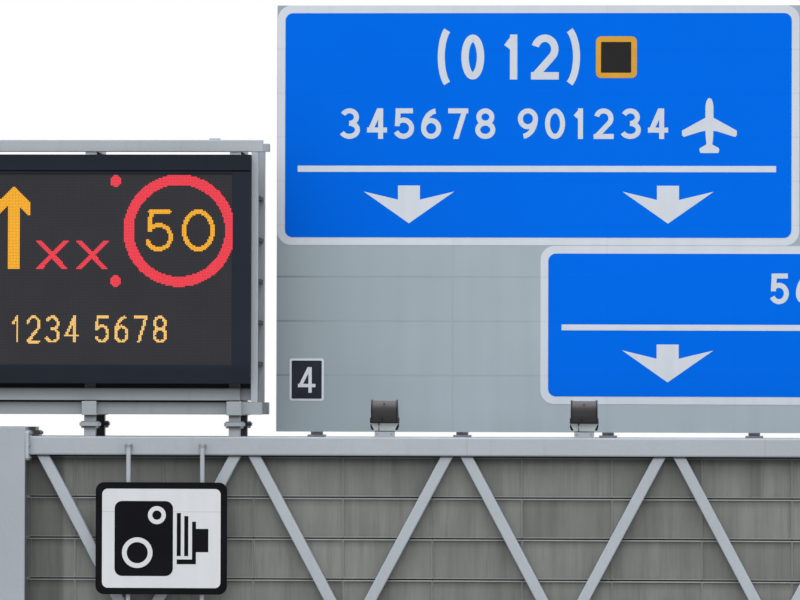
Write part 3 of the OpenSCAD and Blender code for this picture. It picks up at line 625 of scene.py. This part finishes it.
def ring(middle, along, radius, sides, shift=0.0):
    """Points of a circle round a point, across the direction along."""
    turn = along.to_track_quat("Z", "Y")
    return [middle + turn @ Vector(point) for point in circle(radius, sides, shift)]


def rect(x0, x1, z0, z1):
    return [(x0, z0), (x1, z0), (x1, z1), (x0, z1)]


def arc(cx, cz, rx, rz, start, end, steps=20):
    """Points of an elliptic arc, angles in degrees."""
    angles = [math.radians(start + (end - start) * i / steps) for i in range(steps + 1)]
    return [(cx + rx * math.cos(a), cz + rz * math.sin(a)) for a in angles]


def ellipse(cx, cz, rx, rz):
    return arc(cx, cz, rx, rz, 0, 360, 36)[:-1]


def round_rect(x0, x1, z0, z1, r):
    """Outline with corners of radius r."""
    corners = ((x1 - r, z1 - r), (x0 + r, z1 - r), (x0 + r, z0 + r), (x1 - r, z0 + r))
    outline = []
    for quarter, (cx, cz) in enumerate(corners):
        outline += arc(cx, cz, r, r, 90 * quarter, 90 * quarter + 90, 6)
    return outline


def mirrored(half, cx, z, sx=1.0, sz=1.0):
    """Full outline from its right half, whose ends may lie on the middle."""
    right = [(cx + u * sx, z + v * sz) for u, v in half]
    left = [(cx - u * sx, z + v * sz) for u, v in reversed(half) if u > 0]
    return right + left


def unit(vector):
    """The vector at length one, or unchanged where it has no length."""
    return vector / (np.linalg.norm(vector) or 1)


def offset_sides(path, reach, loop=False):
    """Left and right points of a strip along a path, mitred at its corners."""
    points = np.array(path, float)
    count = len(points)
    sides = []
    for i, here in enumerate(points):
        before = points[i - 1] if loop or i else here
        after = points[(i + 1) % count] if loop or i < count - 1 else here
        into, out = unit(here - before), unit(after - here)
        way = unit(into + out)
        lean = max(MITRE_LEAST, way @ into, way @ out)
        step = np.array([-way[1], way[0]]) * reach / lean
        sides.append((here + step, here - step))
    return sides


class Shape:
    """Collects the vertices and faces of one piece."""

    def __init__(self):
        self.verts = []
        self.faces = []

    def add(self, verts, faces):
        start = len(self.verts)
        self.verts += [tuple(v) for v in verts]
        self.faces += [[start + i for i in face] for face in faces]

    def loft(self, rings, loop=False):
        """Faces between rings with as many points each, closed by two ends or as a loop."""
        count = len(rings[0])
        total = count * len(rings)
        faces = []
        for here in range(0, total if loop else total - count, count):
            ahead = (here + count) % total
            for i in range(count):
                j = (i + 1) % count
                faces.append([here + i, here + j, ahead + j, ahead + i])
        if not loop:
            faces.append(list(range(count))[::-1])
            faces.append(list(range(total - count, total)))
        self.add([point for points in rings for point in points], faces)

    def box(self, low, high):
        outline = rect(low[0], high[0], low[1], high[1])
        self.loft([[(x, y, z) for x, y in outline] for z in (low[2], high[2])])

    def block(self, at, part, way=1):
        """Box between two corners given from the point at, mirrored in X where way is -1."""
        (x0, y0, z0), (x1, y1, z1) = part
        x0, x1 = sorted((at[0] + way * x0, at[0] + way * x1))
        self.box((x0, at[1] + y0, at[2] + z0), (x1, at[1] + y1, at[2] + z1))

    def prism(self, base, along, radius, sides):
        """Regular prism from the point base along a vector."""
        along = Vector(along)
        foot = ring(Vector(base), along, radius, sides, 0.5)
        self.loft([foot, [point + along for point in foot]])

    def peg(self, at, base, along, radius, sides):
        """Prism whose base is given from the point at."""
        self.prism([a + b for a, b in zip(at, base)], along, radius, sides)

    def tube(self, path, radius, sides=8):
        """Round bar along a path of points."""
        path = [Vector(point) for point in path]
        rings = []
        for i, point in enumerate(path):
            ahead = path[min(i + 1, len(path) - 1)] - path[max(i - 1, 0)]
            rings.append(ring(point, ahead, radius, sides))
        self.loft(rings)

    def plate(self, outline, back, front):
        """Outline in X and Z, made into a plate between two values of Y."""
        self.loft([[(x, y, z) for x, z in outline] for y in (back, front)])

    def ribbon(self, path, width, back, front, loop=False):
        """Strip of even width along a path in X and Z, between two values of Y."""
        rings = []
        for (ax, az), (bx, bz) in offset_sides(path, width / 2, loop):
            rings.append([(ax, back, az), (ax, front, az), (bx, front, bz), (bx, back, bz)])
        self.loft(rings, loop)

    def piece(self, name, material, slot=None):
        """Makes the object, bound to the gantry."""
        made = add_mesh(name, self.verts, self.faces, material)
        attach(made, BODY)


# Numerals: the centre lines of their strokes in a box from 0 to 1, and their widths.
# A bar is square at its ends, a slant is cut off level, a bend ends bluntly, a loop is closed.

GLYPHS = {
    "0": [("loop", ellipse(0.5, 0.5, 0.5, 0.5))],
    "1": [("bar", [(0.62, 0.0), (0.62, 1.0)]), ("bend", [(0.1, 0.76), (0.62, 0.99)])],
    "2": [("bend", arc(0.5, 0.71, 0.48, 0.29, 165, -38) + [(0.02, 0.0)]),
          ("bar", [(0.0, 0.0), (1.0, 0.0)])],
    "3": [("bend", arc(0.47, 0.755, 0.46, 0.245, 155, -92)),
          ("bend", arc(0.46, 0.255, 0.54, 0.255, 92, -155))],
    "4": [("bar", [(0.74, 0.0), (0.74, 1.0)]), ("slant", [(0.0, 0.25), (0.7, 1.0)]),
          ("bar", [(0.0, 0.25), (1.0, 0.25)])],
    "5": [("bar", [(0.1, 1.0), (0.92, 1.0)]), ("slant", [(0.05, 0.5), (0.12, 1.0)]),
          ("bend", arc(0.46, 0.32, 0.54, 0.32, 142, -155))],
    "6": [("loop", ellipse(0.5, 0.31, 0.5, 0.31)), ("bend", arc(0.92, 0.31, 0.92, 0.69, 180, 98))],
    "7": [("bar", [(0.0, 1.0), (1.0, 1.0)]), ("slant", [(0.34, 0.0), (0.97, 1.0)])],
    "8": [("loop", ellipse(0.5, 0.76, 0.43, 0.24)), ("loop", ellipse(0.5, 0.26, 0.5, 0.26))],
    "9": [("loop", ellipse(0.5, 0.69, 0.5, 0.31)), ("bend", arc(0.08, 0.69, 0.92, 0.69, 0, -82))],
    "(": [("bend", arc(1.83, 0.5, 1.83, 0.561, 117, 243))],
    ")": [("bend", arc(-0.83, 0.5, 1.83, 0.561, 63, -63))],
    " ": [],
}
GLYPH_WIDTHS = {" ": 0.42, "1": 0.72}

Line = namedtuple("Line", "text x0 x1 z0 z1 stroke gap", defaults=[0.0])


def line_strokes(line):
    """Kinds and centre lines of the strokes of numerals that fill the line's box."""
    shares = [GLYPH_WIDTHS.get(mark, 1.0) for mark in line.text]
    unit_width = (line.x1 - line.x0 - line.gap * (len(line.text) - 1)) / sum(shares)
    tall = line.z1 - line.z0 - line.stroke
    at = line.x0 + line.stroke / 2
    foot = line.z0 + line.stroke / 2
    strokes = []
    for mark, share in zip(line.text, shares):
        wide = unit_width * share - line.stroke
        for kind, path in GLYPHS[mark]:
            strokes.append((kind, [(at + u * wide, foot + v * tall) for u, v in path]))
        at += unit_width * share + line.gap
    return strokes


def add_numerals(shape, y, line):
    """Cuts a line of numerals from sheet on the plane y, its strokes on three levels in turn."""
    half = line.stroke / 2
    for i, (kind, path) in enumerate(line_strokes(line)):
        front = y - SHEET_T - STROKE_STEP * (i % 3)
        if kind == "bar":
            xs, zs = zip(*path)
            bar = rect(min(xs) - half, max(xs) + half, min(zs) - half, max(zs) + half)
            shape.plate(bar, y, front)
        elif kind == "slant":
            (ax, az), (bx, bz) = path
            wide = half * math.hypot(bx - ax, bz - az) / (bz - az)
            az, bz = az - half, bz + half
            slant = [(ax - wide, az), (ax + wide, az), (bx + wide, bz), (bx - wide, bz)]
            shape.plate(slant, y, front)
        else:
            shape.ribbon(path, line.stroke, y, front, loop=kind == "loop")


# Message sign: the picture of lit lamps, in lamp pitches from the screen's lower left corner

ARROW_COLS = (44.8, 18.3)
ARROW_TIP = 119.2
ARROW_WING = (11.2, 108.8, 99.1)
ARROW_SHAFT = (3.9, 63.6)
CROSS_COLS = (70.9, 97.8)
CROSS_ROWS = (63.7, 82.8)
CROSS_HALF = 11.2
CROSS_STROKE = 4.1
WARN_SPOTS = ((113.4, 122.9), (113.4, 56.0), (3.4, 122.9), (3.4, 56.0))
WARN_R = 3.8
ROUNDEL_AT = (156.2, 89.8)
ROUNDEL_R = (30.7, 37.5)
SPEED = (Line("5", 134.0, 152.0, 76.0, 104.0, 3.0), Line("0", 158.0, 180.0, 76.0, 104.0, 3.0))
WORD = Line("1234 5678", 43.4, 148.3, 14.5, 32.8, 1.9, 3.2)


class LampGrid:
    """Masks over the grid of lamps."""

    def __init__(self, cols, rows):
        self.x, self.z = np.meshgrid(np.arange(cols) + 0.5, np.arange(rows) + 0.5)

    def none(self):
        return np.zeros(self.x.shape, bool)

    def distance(self, spot):
        return np.hypot(self.x - spot[0], self.z - spot[1])

    def along(self, paths, stroke):
        """Lamps within half a stroke of the paths."""
        mask = self.none()
        for path in paths:
            for (ax, az), (bx, bz) in zip(path, path[1:]):
                dx, dz = bx - ax, bz - az
                along = (self.x - ax) * dx + (self.z - az) * dz
                share = np.clip(along / (dx * dx + dz * dz), 0, 1)
                mask |= self.distance((ax + share * dx, az + share * dz)) <= stroke / 2
        return mask

    def numerals(self, line):
        return self.along([path for _, path in line_strokes(line)], line.stroke)

    def inside(self, outline):
        """Lamps inside a closed outline."""
        mask = self.none()
        for (ax, az), (bx, bz) in zip(outline, outline[1:] + outline[:1]):
            if az == bz:
                continue
            crossed = (az > self.z) != (bz > self.z)
            mask ^= crossed & (self.x < (bx - ax) * (self.z - az) / (bz - az) + ax)
        return mask


def arrow_up(col):
    """Outline of an arrow whose tip is in column col."""
    half, wing_top, wing_low = ARROW_WING
    shaft, foot = ARROW_SHAFT
    slope = (ARROW_TIP - wing_top) / half
    neck = wing_low + (half - shaft) * slope
    side = [(half, wing_top), (half, wing_low), (shaft, neck), (shaft, foot)]
    return [(col, ARROW_TIP)] + mirrored(side, col, 0.0)


def cross_bar(col, way):
    """Outline of the bar of a cross that rises towards way."""
    foot, top = CROSS_ROWS
    reach, width = way * CROSS_HALF, way * CROSS_STROKE
    x0, x1 = col - reach, col + reach
    return [(x0, foot), (x0 + width, foot), (x1, top), (x1 - width, top)]


def lamp_quads(name, mask, low, material):
    """A small square just before the screen for each lamp of the mask."""
    shape = Shape()
    y = low.y - LED_LIFT
    half = LED_SIDE / 2
    for row, col in zip(*np.nonzero(mask)):
        x = low.x + (col + 0.5) * LED_PITCH
        z = low.z + (row + 0.5) * LED_PITCH
        square = rect(x - half, x + half, z - half, z + half)
        shape.add([(u, y, v) for u, v in square], [[0, 1, 2, 3]])
    shape.piece(name, material)


def lamp_picture():
    """The message sign's lit lamps: arrows, crosses, corner lights, roundel and numerals."""
    low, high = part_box("message_screen")
    grid = LampGrid(round((high.x - low.x) / LED_PITCH), round((high.z - low.z) / LED_PITCH))
    amber = grid.none()
    for col in ARROW_COLS:
        amber |= grid.inside(arrow_up(col))
    for line in SPEED:
        amber |= grid.numerals(line)
    away = grid.distance(ROUNDEL_AT)
    red = (away >= ROUNDEL_R[0]) & (away <= ROUNDEL_R[1])
    for col in CROSS_COLS:
        red |= grid.inside(cross_bar(col, -1)) | grid.inside(cross_bar(col, 1))
    for spot in WARN_SPOTS:
        red |= grid.distance(spot) <= WARN_R
    lit = (("amber", amber, AMBER), ("pale", grid.numerals(WORD), AMBER_PALE), ("red", red, RED))
    for name, mask, colour in lit:
        lamp_quads("lit_lamps_" + name, mask, low, glowing(name + "_lamps", colour))


# Direction sign

BORDER_LINES = ((-5.058, 1.419, 12.537, 12.621), (-1.473, 5.0, 10.396, 10.475))
LANE_ARROWS = ((-3.546, 12.353), (-0.039, 12.353), (-0.039, 10.207), (3.465, 10.207))
LANE_ARROW_SHAPE = ((0.149, 0.0), (0.149, -0.192), (0.6165, -0.08), (0.0, -0.512))
AIRPORT_AT = (0.141, 0.895, 12.796, 13.541)
AIRPORT_HALF = (
    (0.0, 1.0), (0.03, 0.985), (0.055, 0.94), (0.072, 0.85), (0.072, 0.641), (0.4915, 0.407),
    (0.4915, 0.33), (0.4615, 0.29), (0.15, 0.39), (0.072, 0.4026), (0.064, 0.25),
    (0.051, 0.156), (0.167, 0.091), (0.179, 0.061), (0.167, 0.013), (0.155, 0.0),
)
SIGN_NUMERALS = (
    Line("(", -3.16, -2.985, 13.69, 14.505, 0.095),
    Line("0", -2.84, -2.53, 13.79, 14.4, 0.1),
    Line("12", -2.288, -1.519, 13.79, 14.4, 0.1, 0.12),
    Line(")", -1.421, -1.232, 13.69, 14.505, 0.095),
    Line("345678 901234", -4.485, -0.04, 12.985, 13.399, 0.068, 0.095),
    Line("567890", 1.342, 3.33, 10.755, 11.17, 0.068, 0.095),
)
SYMBOL_OUTER = (-1.017, -0.464, 13.811, 14.375, 0.07)
SYMBOL_INNER = (-0.949, -0.54, 13.882, 14.299, 0.008)
PLATE_NUMERAL = Line("4", -5.045, -4.808, 9.541, 9.889, 0.045)


def sign_graphics():
    """Lines, arrows, pictograms and numerals of the direction sign."""
    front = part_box("sign_fields")[0].y
    near = front - SHEET_T
    white = Shape()
    for place in BORDER_LINES:
        white.plate(rect(*place), front, near)
    for cx, top in LANE_ARROWS:
        white.plate(mirrored(LANE_ARROW_SHAPE, cx, top), front, near)
    x0, x1, z0, z1 = AIRPORT_AT
    white.plate(mirrored(AIRPORT_HALF, (x0 + x1) / 2, z0, x1 - x0, z1 - z0), front, near)
    for line in SIGN_NUMERALS:
        add_numerals(white, front, line)
    white.piece("sign_white_marks", white_marks, "white")
    outer = Shape()
    outer.plate(round_rect(*SYMBOL_OUTER), front, near)
    outer.piece("sign_symbol_edge", amber_sheet)
    inner = Shape()
    inner.plate(round_rect(*SYMBOL_INNER), front, near - SHEET_T)
    inner.piece("sign_symbol_field", symbol_field, "black")


def number_digit():
    shape = Shape()
    add_numerals(shape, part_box("number_plate")[0].y, PLATE_NUMERAL)
    shape.piece("number_digit", white_digit, "white")


# Camera sign: places in X and Z

CAMERA_BODY = (-7.4035, -6.6205, 7.0872, 8.0886, 0.101)
CAMERA_RINGS = ((-6.8365, 7.9007, 0.1205, 0.062), (-7.0984, 7.3987, 0.205, 0.1413))
CAMERA_BARS = (
    (-6.569, -6.515, 7.356, 7.93), (-6.469, -6.415, 7.356, 7.89), (-6.364, -6.312, 7.31, 7.815),
    (-6.569, -6.312, 7.247, 7.31), (-6.312, -6.146, 7.408, 7.72),
)


def camera_pictogram():
    """Black camera seen from its side, with two white rings for its reels."""
    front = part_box("camera_sign_plate")[0].y
    near = front - SHEET_T
    black = Shape()
    for outline in (round_rect(*CAMERA_BODY), *[rect(*place) for place in CAMERA_BARS]):
        black.plate(outline, front, near)
    black.piece("camera_mark", black_sheet, "black")
    rings = Shape()
    for x, z, outer, inner in CAMERA_RINGS:
        middle = (outer + inner) / 2
        path = ellipse(x, z, middle, middle)
        rings.ribbon(path, outer - inner, near, near - SHEET_T, loop=True)
    rings.piece("camera_mark_rings", white_neutral, "white")


# Bolts. Washer and head are thick and wide by shares of the width across the flats.

WASHER_T, WASHER_R = 0.1, 0.62
HEAD_T, HEAD_R = 0.45, 0.577
ANCHOR_IN = 0.11
STUD_R, STUD_FOOT, STUD_OVER = 0.024, 0.004, 0.11
# Washer and two nuts from the base plate up: height, radius and sides
ANCHOR_STACK = ((0.01, 0.055, 24), (0.038, 0.0435, 6), (0.02, 0.0435, 6))
CHORD_BOLT, CHORD_BOLT_OFF = 0.036, 0.163
FLANGE_BOLT, FLANGE_BOLT_OFF = 0.03, 0.1
BOLT_END = ((0, 0, -0.032), (0, 0, 0.02), 0.01, 10)


def bolt(shape, at, out, flats):
    """Washer and hexagon head on a face at the point at, towards the unit vector out."""
    at, out = Vector(at), Vector(out) * flats
    shape.prism(at, out * WASHER_T, flats * WASHER_R, 16)
    shape.prism(at + out * WASHER_T, out * HEAD_T, flats * HEAD_R, 6)


def anchor_bolts():
    """Nuts, washers and stud ends in the holes of the base plates."""
    shape = Shape()
    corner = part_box("base_plates")[1]
    for leg in LEGS:
        cx, cy, _ = centre(leg)
        half_x = corner.x - abs(cx) - ANCHOR_IN
        half_y = corner.y - abs(cy) - ANCHOR_IN
        for sx, sy in CORNERS:
            x, y, z = cx + sx * half_x, cy + sy * half_y, corner.z
            shape.prism((x, y, STUD_FOOT), (0, 0, z + STUD_OVER), STUD_R, 20)
            for height, radius, sides in ANCHOR_STACK:
                shape.prism((x, y, z), (0, 0, height), radius, sides)
                z += height
    shape.piece("anchor_bolts", bolt_zinc)


def end_plate_bolts():
    """Bolt heads round each chord end, on the plate of the truss."""
    shape = Shape()
    steps = (-CHORD_BOLT_OFF, 0, CHORD_BOLT_OFF)
    spots = [(dy, dz) for dy in steps for dz in steps if dy or dz]
    for chord in CHORDS:
        low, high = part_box(chord)
        _, y, z = centre(chord)
        for x, way in ((low.x, 1), (high.x, -1)):
            for dy, dz in spots:
                bolt(shape, (x, y + dy, z + dz), (way, 0, 0), CHORD_BOLT)
    shape.piece("end_plate_bolts", bolt_zinc)


def flange_bolts():
    """Bolts through the flange pairs of the stub posts, their ends hanging below."""
    shape = Shape()
    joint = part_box("message_lower_stubs")[1].z
    low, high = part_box("message_packers")
    middle = centre("message_packers")[X]
    for x in (low.x + STUB_HALF, middle, high.x - STUB_HALF):
        for y in (low.y + PACKER_HALF_Y, high.y - PACKER_HALF_Y):
            for sx, sy in CORNERS:
                at = (x + sx * FLANGE_BOLT_OFF, y + sy * FLANGE_BOLT_OFF)
                bolt(shape, (*at, joint + FLANGE_T), (0, 0, 1), FLANGE_BOLT)
                bolt(shape, (*at, joint - FLANGE_T), (0, 0, -1), FLANGE_BOLT)
                shape.peg((*at, joint - FLANGE_T), *BOLT_END)
    shape.piece("flange_bolts", bolt_zinc)


# Straps, cleats and door fittings. A block is given by two corners, a peg by its base, its
# length, radius and sides, both from the edge and the face that they stand on.

STRAP_T, STRAP_H, STRAP_IN = 0.005, 0.036, 0.03
STRAP_EAR, STRAP_BOLT = 0.02, 0.011
CLEAT_BACK = ((0, 0, -0.04), (0.07, 0.008, 0.04))
CLEAT_SIDE = ((0, 0.008, -0.04), (0.008, 0.078, 0.04))
CLEAT_BOLT = 0.019
# Spots of a cleat's two bolts
CLEAT_SPOTS = ((0.042, 0.008), (0.008, 0.046))
HINGE_SHARES = (0.12, 0.5, 0.88)
HINGE_PIN = ((0.012, 0.009, -0.07), (0, 0, 0.14), 0.011, 12)
HINGE_LEAF = ((0.012, 0, -0.05), (0.075, 0.005, 0.05))
HANDLE_SHARES = (0.28, 0.72)
HANDLE_PLATE = ((-0.115, 0, -0.075), (-0.055, 0.008, 0.075))
GRIP_IN, GRIP_R = 0.085, 0.008
GRIP_PATH = ((0, -0.05), (0.045, -0.045), (0.045, 0.045), (0, 0.05))
DRIP_OUT, DRIP_LOW, DRIP_HIGH = 0.03, 0.02, 0.012


def strap(shape, x, y, z, radius, way, seat):
    """Half ring round an upright tube, with two ears bolted to a flat seat."""
    bend = radius + STRAP_T / 2
    turn = 90 - 90 * way
    foot = seat + way * STRAP_T / 2
    near, far = way * bend, way * (bend + STRAP_EAR)
    path = [(x + far, foot), (x + near, foot), *arc(x, y, bend, bend, turn, turn + 180, 14),
            (x - near, foot), (x - far, foot)]
    low, high = z - STRAP_H / 2, z + STRAP_H / 2
    shape.loft([[(*a, low), (*a, high), (*b, high), (*b, low)]
                for a, b in offset_sides(path, STRAP_T / 2)])
    for side in (-1, 1):
        ear_x = x + side * (radius + STRAP_T + STRAP_EAR * 0.6)
        bolt(shape, (ear_x, seat + way * STRAP_T, z), (0, way, 0), STRAP_BOLT)


def tube_clamps():
    """Straps that hold the camera sign's tubes to the chord pads and to its channels."""
    shape = Shape()
    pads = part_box("camera_sign_pads")
    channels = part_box("camera_sign_channels")
    low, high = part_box("camera_sign_tubes")
    y = centre("camera_sign_tubes")[Y]
    radius = (high.y - low.y) / 2
    for x in (low.x + radius, high.x - radius):
        for seats, way, seat in ((pads, -1, pads[0].y), (channels, 1, channels[1].y)):
            for z in (seats[0].z + STRAP_IN, seats[1].z - STRAP_IN):
                strap(shape, x, y, z, radius, way, seat)
    shape.piece("tube_clamps", bolt_zinc)


def rail_cleats():
    """Angle cleats that hold each rail of the direction sign to each post."""
    shape = Shape()
    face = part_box("sign_posts")[0].y
    rails = middles(pairs(levels("sign_rails", Z)))
    for post in pairs(levels("sign_posts", X)):
        for z in rails:
            for x, way in zip(post, (-1, 1)):
                for part in (CLEAT_BACK, CLEAT_SIDE):
                    shape.block((x, face, z), part, way)
                for (dx, dy), out in zip(CLEAT_SPOTS, ((0, 1, 0), (way, 0, 0))):
                    bolt(shape, (x + way * dx, face + dy, z), out, CLEAT_BOLT)
    shape.piece("rail_cleats", bare_metal)


def door_fittings():
    """Hinges, handles and drip strips of the housing's rear doors."""
    metal, dark = Shape(), Shape()
    low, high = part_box("message_doors")
    y, tall = high.y, high.z - low.z
    for x0, x1 in pairs(levels("message_doors", X)):
        for share in HINGE_SHARES:
            at = (x0, y, low.z + tall * share)
            metal.peg(at, *HINGE_PIN)
            metal.block(at, HINGE_LEAF)
        for share in HANDLE_SHARES:
            z = low.z + tall * share
            dark.block((x1, y, z), HANDLE_PLATE)
            dark.tube([(x1 - GRIP_IN, y + out, z + up) for out, up in GRIP_PATH], GRIP_R)
        dark.box((x0, y, high.z - DRIP_LOW), (x1, y + DRIP_OUT, high.z - DRIP_HIGH))
    metal.piece("door_hinges", bare_metal)
    dark.piece("door_handles", rubber_black)


# Floodlights

LAMP_BOLT, LAMP_BOLT_X = 0.019, 0.095
# Lug beside the lamp's head, from the edge of its back
LUG_X, LUG = 0.15, ((-0.004, 0.145, -0.012), (0.004, 0.2, -0.002))
# Pegs, from the lamp's foot
BOSSES = (((0, 0.014, 0.258), (0, -0.012, 0), 0.011, 16),
          ((-0.03, 0.002, 0.058), (0, -0.01, 0), 0.019, 16))
# Connector of the lead, from the front of the stirrup
PLUG_AT = (-0.074, -0.008, 0.002)
PLUG = (PLUG_AT, (0, 0, -0.026), 0.0085, 12)
LEAD_R = 0.0045
# Dark plate beside a stirrup, painted shade for its legs, from the lamp's middle and down from its
# foot
STIRRUP_SHADE_PLATE = ((0.186, 0.003), (0.142, 0.084), (0.16, 0.094), (0.178, 0.082), (0.189, 0.04))
SHADE_PLATE_INSET = 0.005
SEAT_H, SEAT_OUT = 0.01, 0.001


def lamp_fittings():
    """Bolts, lugs, bosses, plates of painted shade, seats and the short fixed lead of each
    floodlight.
    """
    metal, dark = Shape(), Shape()
    lamp_low, lamp_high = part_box("floodlight_lamps")
    base_low, base_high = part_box("floodlight_bases")
    pan_low, pan_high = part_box("floodlight_stirrups")
    blocks = pairs(levels("floodlight_bases", X))
    half = (blocks[0][1] - blocks[0][0]) / 2 + SEAT_OUT
    bolt_z = centre("floodlight_bases")[Z]
    foot, seat = lamp_low.z, base_high.z
    for x in middles(blocks):
        for way in (-1, 1):
            bolt(metal, (x + way * LAMP_BOLT_X, base_low.y, bolt_z), (0, -1, 0), LAMP_BOLT)
            dark.block((x + way * LUG_X, lamp_low.y, lamp_high.z), LUG)
            # Dark plates of painted shade beside the stirrup's legs
            shade_outline = [(x + way * u, foot - v) for u, v in STIRRUP_SHADE_PLATE]
            dark.plate(shade_outline[::way], pan_high.y - SHADE_PLATE_INSET, pan_low.y + SHADE_PLATE_INSET)
        for boss in BOSSES:
            dark.peg((x, lamp_low.y, foot), *boss)
        dark.peg((x, pan_low.y, foot), *PLUG)
        lead_x, lead_y = x + PLUG_AT[X], pan_low.y + PLUG_AT[Y]
        lead = ((lead_x, lead_y, foot - 0.022),
                (lead_x - 0.002, lead_y - 0.004, pan_low.z + 0.03),
                (lead_x + 0.001, lead_y, seat - 0.01),
                (lead_x + 0.002, base_low.y + 0.01, seat - 0.02))
        dark.tube(lead, LEAD_R, 10)
        dark.box((x - half, base_low.y - SEAT_OUT, seat - SEAT_H),
                 (x + half, base_high.y + SEAT_OUT, seat))
    metal.piece("lamp_bolts", bolt_zinc)
    dark.piece("lamp_fittings", rubber_black)


# Tray wall


def wall_end_strips():
    """Folded strips that close each row of trays towards the legs, between the end plates."""
    shape = Shape()
    low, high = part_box("wall_trays")
    face, sheet, inner = levels("wall_trays", Y)[:3]
    plates = levels("truss_end_plates", Z)
    half = len(plates) // 2
    seams = [z for gap in spans("wall_trays", Z, TRAY_GAP_Z) for z in gap]
    rows = pairs([plates[half - 1], *seams, plates[half]])
    left = (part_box("left_front_leg")[1].x, low.x)
    right = (high.x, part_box("right_front_leg")[0].x)
    for x0, x1 in (left, right):
        for z0, z1 in rows:
            shape.box((x0, sheet, z0), (x1, inner, z1))
            for z in (z0, z1 - TRAY_LIP_Z):
                shape.box((x0, face, z), (x1, sheet, z + TRAY_LIP_Z))
    shape.piece("wall_end_strips", tray_sheet, "tray")


# Rounded edges of the CAD nodes

BEVELS = (
    (0.014, ("front_diagonals", "rear_diagonals")),
    (0.01, ("left_leg_bracing", "right_leg_bracing", "message_top_frame", "sign_posts")),
    (0.008, ("message_lower_frame", "message_posts")),
    (0.006, ("message_upper_frame", "message_housing")),
    (0.005, (*LEGS, "floodlight_bases")),
    (0.004, ("message_lower_stubs", "message_upper_stubs", "leg_caps", "message_bezel")),
    (0.003, ("truss_end_plates", "leg_landing_plates")),
)
BEVEL_SEGMENTS, BEVEL_FROM_DEGREES = 2, 40
WELD_REACH = 0.00002


def soften_nodes():
    """Rounds the edges of CAD nodes without a change to their meshes."""
    for width, nodes in BEVELS:
        for node in nodes:
            modifiers = NODES[node].modifiers
            modifiers.new("weld", "WELD").merge_threshold = WELD_REACH
            bevel = modifiers.new("bevel", "BEVEL")
            bevel.width = width
            bevel.segments = BEVEL_SEGMENTS
            bevel.limit_method = "ANGLE"
            bevel.angle_limit = math.radians(BEVEL_FROM_DEGREES)


# Stage: floor, sky light and camera

FLOOR_R, FLOOR_SIDES = 1500.0, 64
FLOOR_FADE = (18.0, 70.0)
SKY_COLOUR = (0.99, 0.995, 1.0, 1.0)
SKY_HORIZON, SKY_ZENITH = 0.475, 2.18
SUN_STRENGTH = 1.04
SUN_TOWARDS = (-0.05, -0.52, 0.85)
SUN_ANGLE = 60
CAMERA_AT = (0.787, -80.725, 9.517)
CAMERA_AIM = (-3.6, -0.725, 10.783)
CAMERA_LENS, CAMERA_SENSOR, CAMERA_CLIP = 270, 36, 4000
CAMERA_ROLL = 0.17


@finish()
def floor_finish(g):
    """Pale floor that keeps the shadow near the object and fades to white far out."""
    seen = g.node("LightPath").outputs["Is Camera Ray"]
    away = g.node("VectorMath", {0: g.at}, operation="LENGTH").outputs["Value"]
    near = g.toned(FLOOR_SEEN, g.noise(g.at, 0.4, 2.0), 0.99, 1.01)
    matt = g.out("BsdfDiffuse", {"Color": g.mix(seen, FLOOR_BOUNCE, near)})
    white = g.out("Emission")
    fade = g.times(g.ramp(away, *FLOOR_FADE), seen)
    return g.close(g.out("MixShader", {0: fade, 1: matt, 2: white}))


def add_floor():
    rim = circle(FLOOR_R, FLOOR_SIDES)
    floor = add_mesh("floor", rim, [list(range(FLOOR_SIDES))], floor_finish)


def add_sky():
    """White to the camera and in reflections, a soft overcast sky to every other ray."""
    world = bpy.data.worlds.new("sky")
    SCENE.world = world
    g = Graph(world)
    direction = g.node("TexCoord").outputs["Generated"]
    up = g.node("SeparateXYZ", {0: direction}).outputs[Z]
    strength = g.ramp(up, 0.0, 1.0, SKY_HORIZON, SKY_ZENITH)
    soft = g.out("Background", {"Color": SKY_COLOUR, "Strength": strength})
    plain = g.out("Background", {"Color": (1.0, 1.0, 1.0, 1.0)})
    path = g.node("LightPath").outputs
    direct = 0.0
    for ray in ("Camera", "Glossy", "Transmission"):
        direct = g.most(direct, path["Is %s Ray" % ray])
    shader = g.out("MixShader", {0: direct, 1: soft, 2: plain})
    g.node("OutputWorld", {"Surface": shader})


def add_sun():
    light = bpy.data.lights.new("soft_sun", "SUN")
    light.energy = SUN_STRENGTH
    light.angle = math.radians(SUN_ANGLE)
    sun = add_object("soft_sun", light)
    sun.rotation_mode = "QUATERNION"
    sun.rotation_quaternion = Vector(SUN_TOWARDS).to_track_quat("Z", "Y")


def add_camera():
    data = bpy.data.cameras.new("camera")
    data.lens = CAMERA_LENS
    data.sensor_width = CAMERA_SENSOR
    data.clip_end = CAMERA_CLIP
    camera = add_object("camera", data)
    way = Vector(CAMERA_AIM) - Vector(CAMERA_AT)
    turn = way.to_track_quat("-Z", "Y").to_matrix().to_4x4()
    roll = Matrix.Rotation(math.radians(CAMERA_ROLL), 4, "Z")
    camera.matrix_world = Matrix.Translation(CAMERA_AT) @ turn @ roll
    SCENE.camera = camera


soften_nodes()
lamp_picture()
sign_graphics()
number_digit()
camera_pictogram()
anchor_bolts()
end_plate_bolts()
flange_bolts()
tube_clamps()
rail_cleats()
door_fittings()
lamp_fittings()
wall_end_strips()
add_floor()
add_sky()
add_sun()
add_camera()
SCENE.view_settings.view_transform = "Standard"
